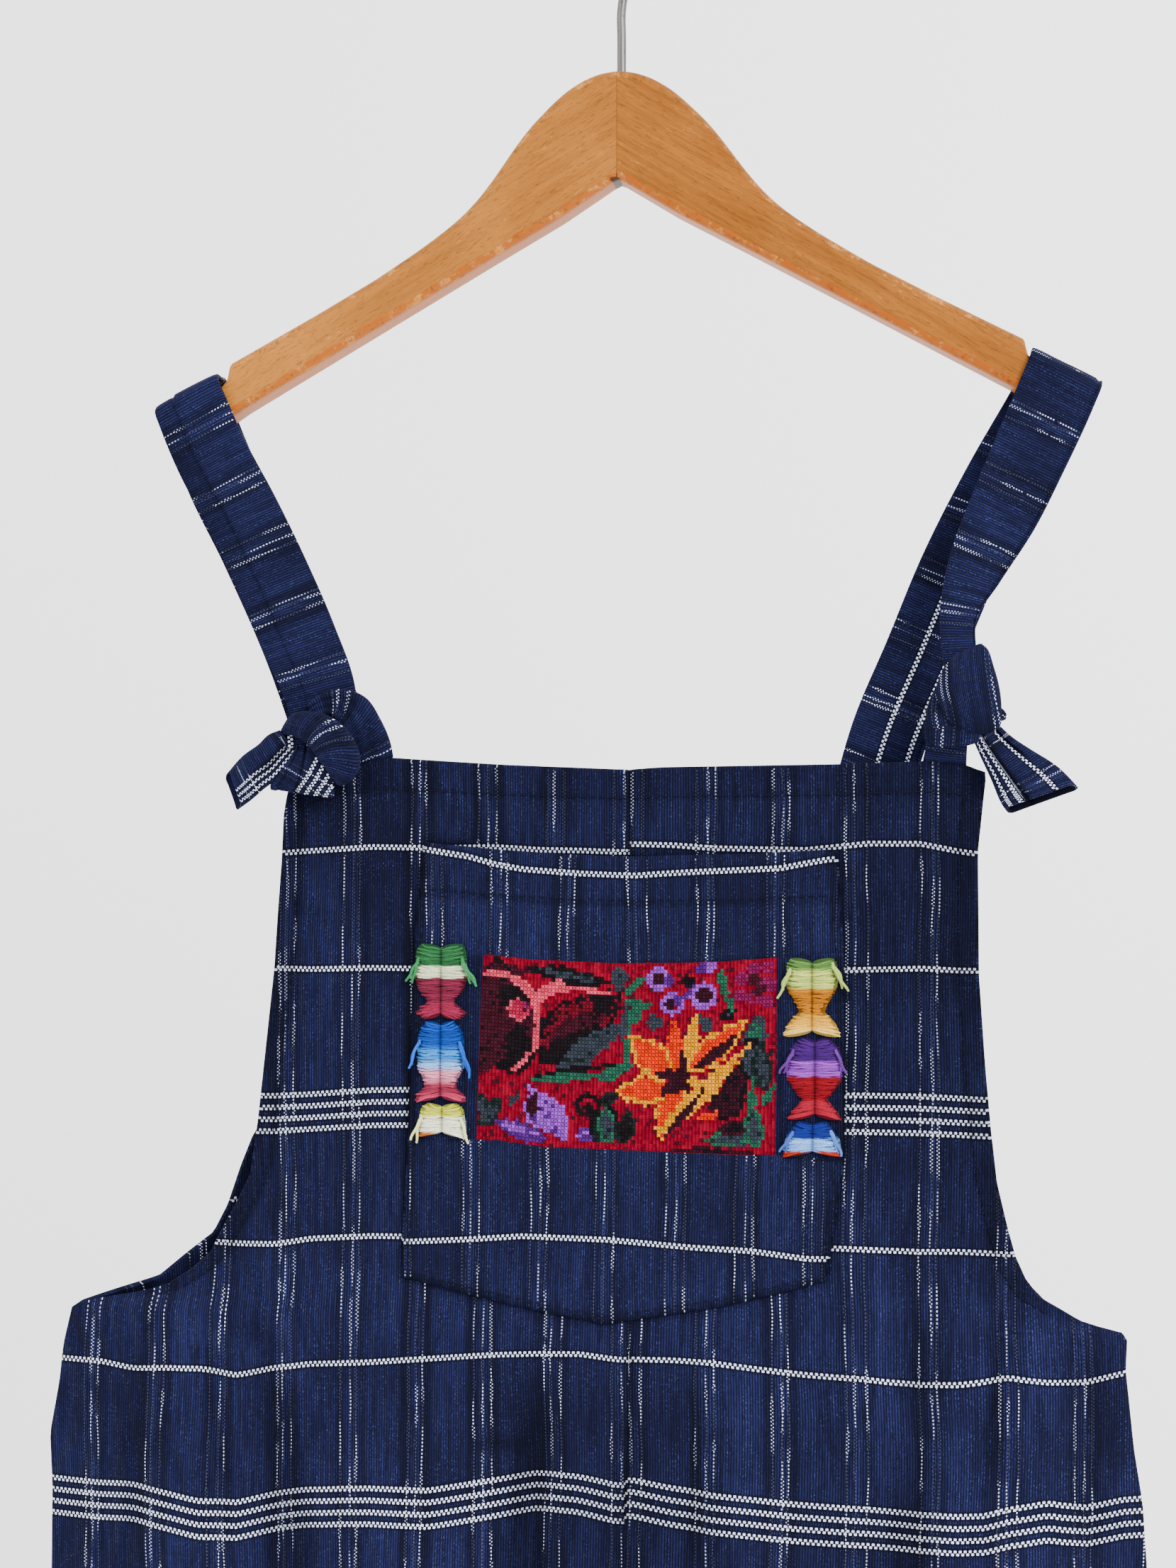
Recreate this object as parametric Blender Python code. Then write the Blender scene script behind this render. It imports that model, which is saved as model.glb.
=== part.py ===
"""A small child's bib overalls, knotted over the two ends of a wooden hanger.

Metres, +Z up, +X to the right as the wearer's front is looked at, +Y away from the viewer.
The origin is the inside top of the hanger's hook, where the whole thing hangs.
Heights on the garment are given as "drop", millimetres below the middle of the bib's top edge.
"""
import math

import bmesh
import bpy
import numpy as np

MM = 0.001

# Hanger and hook (millimetres)
APEX_Z = -70.0            # top of the wooden hanger under the hang point
HANGER_THICKNESS = 14.5
HANGER_TILT = 0.8         # degrees, left end lower
HANGER_SHIFT = -0.9       # the wood's middle against the hook's stem
HANGER_EDGE_ROUND = 0.9
HOOK_INNER_RADIUS = 18.0
WIRE_RADIUS = 1.5
STEM_DEPTH_IN_WOOD = 22.0
BORE_RADIUS = 1.9
TIP_RADIUS = 6.0          # round end of each arm, inside the strap's loop

# Cloth (millimetres)
BIB_TOP_Z = -296.4        # middle of the bib's top edge
CLOTH = 1.5               # wall thickness of the body's cloth
POCKET_CLOTH = 1.2
SEAM_GAP = 0.3            # between pieces that meet at a seam or lie on each other
TOP_FADE = 45.0           # how far down the top edge's own curve is felt
CROTCH_DROP = 430.0
RISE_CURVE = 75.0         # height over which the centre seam turns in to the crotch
HEM_DROP = 810.0
BACK_TOP_DROP = 25.0      # the back's top edge is lower than the bib's
LEG_SPREAD = 6.0          # half the gap between the legs at the hem

# Outer edges: drop and x of the bib's side, the armhole's curve and the side seam
FRONT_LEFT_EDGE = (
    # drop, x
    (0.0, -107.5), (8.0, -108.6), (26.0, -109.3), (63.0, -111.7), (114.0, -117.6),
    (131.0, -120.4), (141.0, -125.6), (150.5, -131.0), (157.5, -134.6), (163.0, -140.8),
    (169.0, -150.0), (172.2, -160.0), (174.0, -171.5), (176.0, -182.3), (189.0, -185.4),
    (201.5, -186.8), (219.0, -190.0), (236.0, -189.2), (264.0, -189.5), (330.0, -192.0),
    (430.0, -193.0), (560.0, -189.0), (810.0, -184.0),
)
FRONT_RIGHT_EDGE = (
    # drop, x
    (0.0, 115.9), (2.0, 115.7), (25.0, 113.3), (64.0, 113.6), (92.0, 115.5),
    (112.5, 117.3), (130.0, 119.3), (145.0, 122.8), (154.0, 125.3), (161.0, 128.4),
    (167.0, 132.8), (174.0, 145.0), (177.0, 151.5), (179.0, 160.8), (190.0, 160.3),
    (196.5, 161.0), (215.0, 162.9), (232.0, 165.6), (252.5, 166.9), (330.0, 172.0),
    (430.0, 177.0), (560.0, 175.0), (810.0, 172.0),
)
BACK_LEFT_EDGE = (
    # drop, x
    (25.0, -96.0), (60.0, -99.0), (100.0, -109.0), (120.0, -123.0), (130.0, -126.8),
    (143.0, -130.9), (152.0, -135.4), (159.0, -144.4), (167.0, -154.0), (172.5, -171.3),
    (176.0, -182.3), (189.0, -185.4), (201.5, -186.8), (219.0, -190.0), (236.0, -189.2),
    (264.0, -189.5), (330.0, -192.0), (430.0, -193.0), (560.0, -189.0), (810.0, -184.0),
)
BACK_RIGHT_EDGE = (
    # drop, x
    (25.0, 98.0), (60.0, 100.0), (100.0, 105.0), (125.0, 112.0), (145.0, 119.0),
    (160.0, 126.0), (170.0, 136.0), (176.0, 148.0), (179.0, 160.8), (190.0, 160.3),
    (196.5, 161.0), (215.0, 162.9), (232.0, 165.6), (252.5, 166.9), (330.0, 172.0),
    (430.0, 177.0), (560.0, 175.0), (810.0, 172.0),
)
CENTRE_SEAM = (
    # drop, x
    (0.0, 3.6), (175.0, 4.5), (225.0, 3.3), (254.0, 2.4), (430.0, 0.0), (810.0, 0.0),
)
# The bib's top edge, pulled by the two knots: x and how far it stands above the drop of 0
BIB_TOP_EDGE = (
    # x, rise
    (-108.6, -7.0), (-90.0, 1.0), (-75.0, 5.6), (-37.0, 3.0), (3.0, 0.0),
    (12.0, 1.2), (70.0, 2.3), (100.0, 3.4), (116.0, -0.5),
)
# How far the cloth stands out from the middle plane: at the centre, and at a free edge
DEPTHS = (
    # drop, front centre, front edge, back centre, back edge
    (0.0, 9.0, 8.6, 8.2, 8.0), (60.0, 10.5, 8.6, 9.5, 8.0), (120.0, 13.5, 7.0, 12.5, 7.0),
    (175.0, 17.0, 0.0, 16.0, 0.0), (230.0, 19.5, 0.0, 19.0, 0.0), (300.0, 21.5, 0.0, 21.5, 0.0),
    (380.0, 21.5, 0.0, 22.0, 0.0), (470.0, 19.0, 0.0, 20.0, 0.0), (810.0, 15.0, 0.0, 15.0, 0.0),
)
# The largest soft folds; height is out of the cloth, or into it where it is negative
FOLDS = (
    # face, x at top, x at bottom, drop top, drop bottom, half width, height
    (-1, -146.0, -118.0, 165.0, 520.0, 15.0, 4.5),
    (-1, -112.0, -92.0, 150.0, 480.0, 13.0, -4.0),
    (-1, -60.0, -58.0, 185.0, 470.0, 16.0, 3.0),
    (-1, -24.0, -33.0, 190.0, 330.0, 9.0, -3.2),
    (-1, 50.0, 44.0, 180.0, 440.0, 18.0, 3.0),
    (-1, 96.0, 84.0, 140.0, 500.0, 14.0, -3.5),
    (-1, 134.0, 122.0, 172.0, 540.0, 14.0, 4.5),
    (-1, -98.0, -96.0, 430.0, 860.0, 26.0, 4.0),
    (-1, -45.0, -52.0, 450.0, 840.0, 16.0, -3.5),
    (-1, 96.0, 88.0, 440.0, 860.0, 24.0, 4.0),
    (-1, 52.0, 46.0, 470.0, 850.0, 14.0, -3.5),
    (1, -130.0, -110.0, 170.0, 540.0, 18.0, 4.0),
    (1, -86.0, -78.0, 160.0, 500.0, 15.0, -4.0),
    (1, 20.0, 8.0, 120.0, 380.0, 16.0, 3.0),
    (1, 84.0, 76.0, 150.0, 520.0, 16.0, -4.0),
    (1, 124.0, 112.0, 175.0, 560.0, 15.0, 4.0),
    (1, -100.0, -92.0, 450.0, 860.0, 24.0, 4.0),
    (1, 92.0, 96.0, 450.0, 860.0, 24.0, 4.0),
)
PANEL_DROPS = (
    0, 12, 28, 50, 75, 100, 118, 131, 141, 150.5, 157.5, 163, 169, 172.2, 174.5, 177.5,
    180, 189, 201.5, 219, 240, 266, 300, 335, 365, 390, 410, 430, 455, 500, 570, 650, 730, 810,
)
PANEL_COLUMNS = 9

# The pocket's outlines (x, drop) and the lines where its pieces join
POCKET_LEFT = ((24.6, -62.3), (54.7, -65.6), (117.4, -67.2), (149.4, -68.8), (163.0, -69.1))
POCKET_RIGHT = ((25.8, 69.4), (56.5, 71.5), (122.8, 71.8), (153.6, 67.2), (163.0, 65.6))
POCKET_TOP = ((-62.5, 24.6), (-37.6, 26.2), (-16.0, 27.2), (8.0, 27.6), (40.0, 27.1), (69.4, 25.8))
BAND_BOTTOM = ((-66.0, 54.9), (-45.0, 58.2), (-27.0, 59.8), (0.0, 60.8), (30.0, 60.3), (71.0, 57.0))
LOWER_TOP = ((-67.0, 117.2), (-38.0, 117.7), (-23.0, 119.6), (10.0, 120.4), (50.0, 121.2), (72.0, 122.6))
POCKET_BOTTOM = (
    (-69.0, 161.4), (-55.8, 164.5), (-27.2, 170.5), (-3.9, 174.6), (5.4, 173.2), (36.5, 167.8), (66.0, 160.2),
)
PATCH_LEFT = ((54.0, -43.0), (124.0, -45.5))
PATCH_RIGHT = ((54.0, 51.0), (124.0, 50.5))

# Hand-stitched strips: each figure's half widths, from its shoulders to its skirt
FIGURE_RELIEF = 2.8
FIGURE_GROOVE = 1.3
FIGURES = {
    "randa_left_1": (-57.0, ((55.2, 7.6), (58.0, 8.7), (65.0, 8.8), (70.0, 7.6), (73.6, 4.6),
                             (75.0, 5.2), (78.0, 8.2), (79.4, 6.0))),
    "randa_left_2": (-57.0, ((79.8, 4.6), (83.0, 6.6), (88.0, 7.5), (95.0, 7.4), (99.0, 5.4),
                             (101.0, 4.4), (103.5, 7.2), (105.6, 8.3))),
    "randa_left_3": (-56.4, ((106.0, 4.6), (109.0, 6.4), (113.0, 7.9), (117.0, 8.0))),
    "randa_right_1": (62.0, ((59.0, 7.4), (64.0, 8.0), (68.0, 7.8), (72.0, 5.6), (75.6, 4.6),
                             (79.0, 7.4), (83.6, 9.2))),
    "randa_right_2": (62.9, ((84.0, 4.8), (88.0, 7.6), (91.0, 8.9), (97.0, 8.9), (101.0, 6.2),
                             (103.6, 4.2), (107.0, 7.2), (109.8, 8.4))),
    "randa_right_3": (62.2, ((110.2, 4.8), (114.0, 6.6), (117.0, 8.6), (121.4, 9.2))),
}
# Thread tufts at the figures' sides: figure, side, drop of the roots, threads, fall, lean
THREAD = 0.85
THREAD_SPACE = 0.35
TUFTS = (
    # figure, side, drop, threads, fall, lean
    ("randa_left_1", -1, 59.5, 4, 8.2, 2.6),
    ("randa_left_1", 1, 60.5, 4, 8.0, 3.4),
    ("randa_left_2", -1, 85.0, 2, 9.6, 3.2),
    ("randa_left_2", 1, 85.5, 3, 9.4, 2.2),
    ("randa_left_3", -1, 109.5, 2, 9.0, 3.0),
    ("randa_left_3", 1, 110.0, 2, 8.6, 1.2),
    ("randa_right_1", -1, 61.5, 3, 8.6, 2.8),
    ("randa_right_1", 1, 60.5, 3, 8.0, 3.8),
    ("randa_right_2", -1, 87.5, 3, 8.0, 2.8),
    ("randa_right_2", 1, 87.5, 3, 8.2, 1.6),
    ("randa_right_3", -1, 113.5, 2, 6.6, 3.2),
    ("randa_right_3", 1, 113.0, 2, 6.6, 2.0),
)

# Straps, tabs, knots and tails as bands carried along a route
# x, y, drop of the middle, the half width and half thickness, and the turn of the width in degrees
STRAP_LEFT_FRONT = (
    (-142.8, -0.2, -125.1, 11.6, 1.1, 26.5), (-142.8, -5.6, -125.0, 11.7, 1.1, 26.5),
    (-142.3, -8.5, -123.2, 11.8, 1.1, 26.5), (-140.4, -8.8, -118.6, 12.0, 1.1, 26.5),
    (-134.3, -8.8, -104.6, 12.2, 1.1, 25.0), (-123.6, -9.2, -84.7, 12.3, 1.1, 24.0),
    (-113.4, -9.8, -64.0, 12.4, 1.1, 22.0), (-104.3, -10.2, -43.2, 12.5, 1.1, 18.0),
    (-97.6, -10.3, -26.5, 11.8, 1.0, 14.0), (-95.6, -9.9, -15.0, 11.0, 1.0, 8.0),
    (-95.2, -9.8, -3.5, 10.4, 1.0, 6.0),
)
STRAP_LEFT_BACK = (
    (-142.8, 0.2, -125.1, 11.6, 1.1, 26.5), (-142.8, 5.6, -125.0, 11.7, 1.1, 26.5),
    (-142.6, 8.5, -123.2, 11.8, 1.1, 26.5), (-142.0, 8.8, -118.6, 12.0, 1.1, 26.5),
    (-136.2, 8.7, -102.0, 12.3, 1.1, 25.0), (-122.4, 8.2, -74.0, 12.4, 1.1, 24.5),
    (-107.0, 7.2, -40.0, 12.5, 1.1, 24.0), (-95.0, 6.4, -6.0, 12.5, 1.1, 21.0),
    (-86.5, 6.0, 20.0, 12.5, 1.1, 15.0), (-81.0, 6.2, 44.0, 12.5, 1.1, 10.0),
)
STRAP_RIGHT_FRONT = (
    (142.2, -0.2, -128.8, 12.3, 1.1, -28.5), (142.2, -5.6, -128.7, 12.3, 1.1, -28.5),
    (141.8, -8.5, -126.9, 12.4, 1.1, -28.5), (139.6, -8.8, -121.4, 12.4, 1.1, -28.0),
    (130.4, -9.0, -100.4, 12.0, 1.2, -26.0), (122.0, -9.6, -81.9, 11.2, 1.3, -26.0),
    (113.0, -10.4, -63.4, 8.8, 1.6, -22.0), (108.0, -11.0, -48.7, 5.8, 2.0, -8.0),
    (108.4, -11.2, -37.4, 5.3, 2.1, 4.0),
)
STRAP_RIGHT_BACK = (
    (142.2, 0.2, -128.8, 12.3, 1.1, -28.5), (142.2, 5.6, -128.7, 12.3, 1.1, -28.5),
    (141.4, 8.5, -126.9, 12.4, 1.1, -28.5), (138.4, 8.8, -121.4, 12.4, 1.1, -27.0),
    (122.0, 8.5, -92.5, 12.5, 1.1, -24.6), (108.6, 7.9, -66.0, 12.5, 1.1, -24.6),
    (97.0, 7.2, -38.0, 12.5, 1.1, -24.6), (85.6, 6.4, -10.4, 12.5, 1.1, -22.0),
    (79.0, 6.0, 16.0, 12.5, 1.1, -15.0), (75.5, 6.2, 44.0, 12.5, 1.1, -8.0),
)
TAB_LEFT = (
    (-84.8, -12.4, 6.0, 9.6, 1.1, 6.0), (-84.4, -12.5, -3.0, 9.8, 1.2, 8.0),
    (-84.8, -12.9, -11.0, 9.0, 1.6, 12.0), (-88.0, -13.2, -18.0, 9.0, 1.9, 30.0),
    (-92.0, -13.4, -22.4, 7.2, 1.8, 48.0),
)
KNOT_LEFT = (
    (-98.4, -16.5, -19.4, 4.4, 1.4, 12.0), (-97.6, -17.9, -16.4, 8.8, 2.9, 12.0),
    (-95.8, -19.3, -11.0, 11.6, 4.4, 10.0), (-95.2, -19.7, -5.0, 11.4, 4.8, 4.0),
    (-97.8, -18.9, 0.8, 11.0, 4.2, -4.0), (-100.4, -17.5, 4.6, 9.6, 2.8, -6.0),
    (-101.0, -16.5, 6.8, 6.6, 1.5, -4.0),
)
TAIL_LEFT = (
    (-109.6, -17.3, -9.0, 5.4, 2.2, -58.0), (-111.6, -17.7, -6.6, 6.0, 2.8, -58.0),
    (-114.5, -17.9, -3.5, 6.3, 3.0, -58.0), (-118.7, -17.9, 0.6, 6.4, 2.9, -60.0),
    (-122.3, -17.8, 4.2, 6.3, 2.8, -64.0), (-125.4, -17.7, 7.4, 6.0, 2.5, -68.0),
)
TAB_RIGHT = (
    (103.6, -12.2, 3.0, 7.2, 1.1, -4.0), (103.6, -12.3, -2.0, 7.0, 1.2, -4.0),
    (104.4, -12.6, -5.6, 6.6, 1.3, -6.0), (105.0, -12.8, -9.4, 6.0, 1.3, -6.0),
)
KNOT_RIGHT = (
    (110.0, -14.9, -37.4, 4.8, 1.4, 22.0), (110.2, -15.9, -34.4, 8.0, 2.8, 20.0),
    (110.4, -16.5, -29.0, 9.8, 4.6, 10.0), (110.6, -16.9, -23.0, 11.0, 5.0, 2.0),
    (110.4, -16.3, -17.6, 11.8, 4.2, -2.0), (108.2, -15.5, -13.4, 9.0, 2.6, -2.0),
    (105.6, -15.1, -10.8, 5.6, 1.4, -4.0),
)
TAIL_RIGHT = (
    (116.4, -14.3, -11.6, 4.8, 1.8, 40.0), (120.9, -14.7, -6.4, 6.4, 2.5, 33.0),
    (126.0, -14.9, -0.6, 8.6, 2.8, 35.0), (130.8, -14.9, 4.6, 10.6, 2.6, 30.0),
    (134.6, -14.7, 9.4, 11.4, 2.3, 20.0),
)
TAIL_MOUTH_DEPTH = 2.6

# Colours (linear RGB), roughness and metallic
INDIGO = (0.012, 0.024, 0.092)
INDIGO_DARK = (0.008, 0.016, 0.062)
RED_GROUND = (0.55, 0.012, 0.018)
BEECH = (0.56, 0.27, 0.09)
WIRE = (0.42, 0.40, 0.37)
THREAD_COLOURS = {
    "randa_left_1": (0.10, 0.42, 0.16),
    "randa_left_2": (0.03, 0.28, 0.72),
    "randa_left_3": (0.72, 0.68, 0.24),
    "randa_right_1": (0.62, 0.34, 0.06),
    "randa_right_2": (0.17, 0.05, 0.36),
    "randa_right_3": (0.06, 0.16, 0.58),
}


def clear_scene():
    """Remove whatever the scene holds."""
    for obj in list(bpy.data.objects):
        bpy.data.objects.remove(obj, do_unlink=True)


def make_material(name, colour, roughness, metallic=0.0):
    """A Principled material of one colour."""
    mat = bpy.data.materials.new(name)
    mat.use_nodes = True
    shader = mat.node_tree.nodes["Principled BSDF"]
    shader.inputs["Base Color"].default_value = (*colour, 1.0)
    shader.inputs["Roughness"].default_value = roughness
    shader.inputs["Metallic"].default_value = metallic
    return mat


def add_mesh(name, points_mm, faces, mat):
    """One closed mesh object from points in millimetres, its faces turned outwards."""
    mesh = bpy.data.meshes.new(name)
    mesh.from_pydata((np.asarray(points_mm) * MM).tolist(), [], faces)
    bm = bmesh.new()
    bm.from_mesh(mesh)
    bmesh.ops.recalc_face_normals(bm, faces=bm.faces)
    bm.to_mesh(mesh)
    bm.free()
    mesh.shade_smooth()
    mesh.set_sharp_from_angle(angle=math.radians(40))
    mesh.materials.append(mat)
    obj = bpy.data.objects.new(name, mesh)
    bpy.context.scene.collection.objects.link(obj)
    return obj


def table(rows, column=1, key=0):
    """A function of one length: straight lines between a table's rows."""
    keys = np.array([row[key] for row in rows])
    values = np.array([row[column] for row in rows])
    return lambda at: np.interp(at, keys, values)


def smooth_step(t):
    """0 below 0, 1 above 1, and 3t^2 - 2t^3 between."""
    t = np.clip(t, 0.0, 1.0)
    return t * t * (3.0 - 2.0 * t)


# ---------------------------------------------------------------- the body's cloth

seam_x = table(CENTRE_SEAM)
top_rise = table(BIB_TOP_EDGE)
EDGES = {
    (-1, -1): table(FRONT_LEFT_EDGE),
    (1, -1): table(FRONT_RIGHT_EDGE),
    (-1, 1): table(BACK_LEFT_EDGE),
    (1, 1): table(BACK_RIGHT_EDGE),
}
CENTRE_DEPTH = {-1: table(DEPTHS, 1), 1: table(DEPTHS, 3)}
EDGE_DEPTH = {-1: table(DEPTHS, 2), 1: table(DEPTHS, 4)}


def inner_x(side, drop):
    """The centre seam, and below the crotch the inseam, which leans away from the other leg."""
    below = np.clip((drop - CROTCH_DROP) / (HEM_DROP - CROTCH_DROP), 0.0, 1.0)
    return seam_x(drop) + side * (SEAM_GAP / 2 + LEG_SPREAD * below)


def fold_height(face, x, drop):
    """The sum of soft ridges: a bell across each fold, times half a sine along it."""
    height = np.zeros(np.broadcast(x, drop).shape)
    for fold_face, x_top, x_bottom, start, end, width, size in FOLDS:
        if fold_face != face:
            continue
        along = np.clip((drop - start) / (end - start), 0.0, 1.0)
        middle = x_top + (x_bottom - x_top) * along
        bell = np.exp(-((x - middle) / width) ** 2)
        height = height + size * bell * np.sin(math.pi * along)
    return height


def cloth_depth(side, face, across, drop):
    """How far the middle of the wall stands out from y = 0.

    Across a body half, the depth falls from the centre to the outer edge as 1 - u^3. Across a
    leg it falls to both edges as 1 - |2u - 1|^3. The crotch's curve blends from one to the other.
    """
    centre = CENTRE_DEPTH[face](drop)
    edge = EDGE_DEPTH[face](drop)
    leg = smooth_step((drop - CROTCH_DROP + RISE_CURVE) / RISE_CURVE)
    body_form = 1.0 - across ** 3
    leg_form = 1.0 - np.abs(2.0 * across - 1.0) ** 3
    form = body_form * (1.0 - leg) + leg_form * leg
    x = inner_x(side, drop) + (EDGES[(side, face)](drop) - inner_x(side, drop)) * across
    near_edge = np.minimum(1.0, 5.0 * (1.0 - across)) * np.minimum(1.0, 1.0 - leg + 5.0 * across)
    depth = edge + (centre - edge) * form + fold_height(face, x, drop) * near_edge
    return (CLOTH + SEAM_GAP) / 2 + np.maximum(depth, 0.0)


def panel_surface(side, face, across, drop):
    """Points in the middle of a body panel's wall."""
    inner = inner_x(side, drop)
    x = inner + (EDGES[(side, face)](drop) - inner) * across
    y = face * cloth_depth(side, face, across, drop)
    rise = top_rise(x) * np.clip(1.0 - drop / TOP_FADE, 0.0, 1.0) if face < 0 else 0.0 * x
    return np.stack([x, y, BIB_TOP_Z - drop + rise], axis=-1)


def front_surface(x, drop):
    """A point in the middle of the front's wall, from its x and drop."""
    side = np.where(x < seam_x(drop), -1, 1)
    result = np.zeros(np.broadcast(x, drop).shape + (3,))
    for which in (-1, 1):
        inner = inner_x(which, drop)
        across = np.clip((x - inner) / (EDGES[(which, -1)](drop) - inner), 0.0, 1.0)
        half = panel_surface(which, -1, across, drop)
        result[side == which] = half[side == which]
    result[..., 0] = x
    return result


def wall(name, outer, inner, mat):
    """A closed wall between two grids of points, with its four rims."""
    rows, cols = outer.shape[:2]
    count = rows * cols
    index = np.arange(count).reshape(rows, cols)
    faces = []
    for r in range(rows - 1):
        for c in range(cols - 1):
            quad = (index[r, c], index[r, c + 1], index[r + 1, c + 1], index[r + 1, c])
            faces.append([int(i) for i in quad])
            faces.append([int(i + count) for i in reversed(quad)])
    rim = list(index[0, :]) + list(index[1:, -1]) + list(index[-1, -2::-1]) + list(index[-2:0:-1, 0])
    for a, b in zip(rim, rim[1:] + rim[:1]):
        faces.append([int(b), int(a), int(a + count), int(b + count)])
    points = np.concatenate([outer.reshape(-1, 3), inner.reshape(-1, 3)])
    return add_mesh(name, points, faces, mat)


def offset_wall(name, surface, out, thickness, mat):
    """A wall whose near face stands `out` in front of a surface, and whose far face lies behind it."""
    near = surface.copy()
    far = surface.copy()
    near[..., 1] -= out
    far[..., 1] -= out - thickness
    return wall(name, near, far, mat)


def body_panel(name, side, face, mat):
    """One cut piece of the body, from the top edge down to the leg's hem."""
    top = 0.0 if face < 0 else BACK_TOP_DROP
    drops = np.array([top] + [d for d in PANEL_DROPS if d > top + 1.0], dtype=float)
    across = np.linspace(0.0, 1.0, PANEL_COLUMNS)
    across_grid, drop_grid = np.meshgrid(across, drops)
    surface = panel_surface(side, face, across_grid, drop_grid)
    return offset_wall(name, surface, CLOTH / 2, CLOTH, mat)


# ---------------------------------------------------------------- the pocket

def pocket_layer():
    """How far the pocket's near face stands in front of the middle of the front's wall."""
    return CLOTH / 2 + SEAM_GAP + POCKET_CLOTH


def pocket_piece(name, left, right, top, bottom, cols, rows, mat):
    """One piece of the patch pocket, laid on the front and bounded by four lines."""
    middle = (np.mean([row[1] for row in top]) + np.mean([row[1] for row in bottom])) / 2
    left_x, right_x = table(left), table(right)
    top_drop, bottom_drop = table(top), table(bottom)
    s, t = np.meshgrid(np.linspace(0, 1, cols), np.linspace(0, 1, rows))
    x = left_x(middle) + (right_x(middle) - left_x(middle)) * s
    for _ in range(3):
        drop = top_drop(x) + (bottom_drop(x) - top_drop(x)) * t
        x = left_x(drop) + (right_x(drop) - left_x(drop)) * s
    surface = front_surface(x, drop)
    return offset_wall(name, surface, pocket_layer(), POCKET_CLOTH, mat)


def shifted(rows, amount):
    """The same outline, moved along its second column by half a seam's gap."""
    return tuple((row[0], row[1] + amount) for row in rows)


def pocket(mats):
    """Navy band, embroidered patch between two navy strips, and the pointed navy lower part."""
    half = SEAM_GAP / 2
    pocket_piece("pocket_upper", POCKET_LEFT, POCKET_RIGHT, POCKET_TOP,
                 shifted(BAND_BOTTOM, -half), 13, 4, mats["navy"])
    pocket_piece("pocket_patch", shifted(PATCH_LEFT, half), shifted(PATCH_RIGHT, -half),
                 shifted(BAND_BOTTOM, half), shifted(LOWER_TOP, -half), 11, 7, mats["red"])
    pocket_piece("pocket_ground_left", POCKET_LEFT, shifted(PATCH_LEFT, -half),
                 shifted(BAND_BOTTOM, half), shifted(LOWER_TOP, -half), 4, 7, mats["navy"])
    pocket_piece("pocket_ground_right", shifted(PATCH_RIGHT, half), POCKET_RIGHT,
                 shifted(BAND_BOTTOM, half), shifted(LOWER_TOP, -half), 4, 7, mats["navy"])
    pocket_piece("pocket_lower", POCKET_LEFT, POCKET_RIGHT,
                 shifted(LOWER_TOP, half), POCKET_BOTTOM, 13, 5, mats["navy"])


# ---------------------------------------------------------------- raised stitching and tufts

def figure(name, centre_x, profile, mat):
    """A padded stitched figure: two rounded ridges with a groove between, on the pocket's strip."""
    drops = np.linspace(profile[0][0], profile[-1][0], 10)
    half = table(profile)(drops)[:, None]
    across = np.array([-1.0, -0.82, -0.45, 0.0, 0.45, 0.82, 1.0])[None, :]
    relief = np.array([0.25, 0.8, 1.0, FIGURE_GROOVE / FIGURE_RELIEF, 1.0, 0.8, 0.25])
    ends = np.minimum(1.0, 0.45 + 2.4 * np.sin(math.pi * np.linspace(0, 1, 10)))[:, None]
    x = centre_x + half * across
    drop = drops[:, None] + 0.0 * across
    surface = front_surface(x, drop)
    far = surface.copy()
    far[..., 1] -= pocket_layer() + SEAM_GAP
    near = far.copy()
    near[..., 1] -= FIGURE_RELIEF * relief[None, :] * ends
    return wall(name, near, far, mat)


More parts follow.
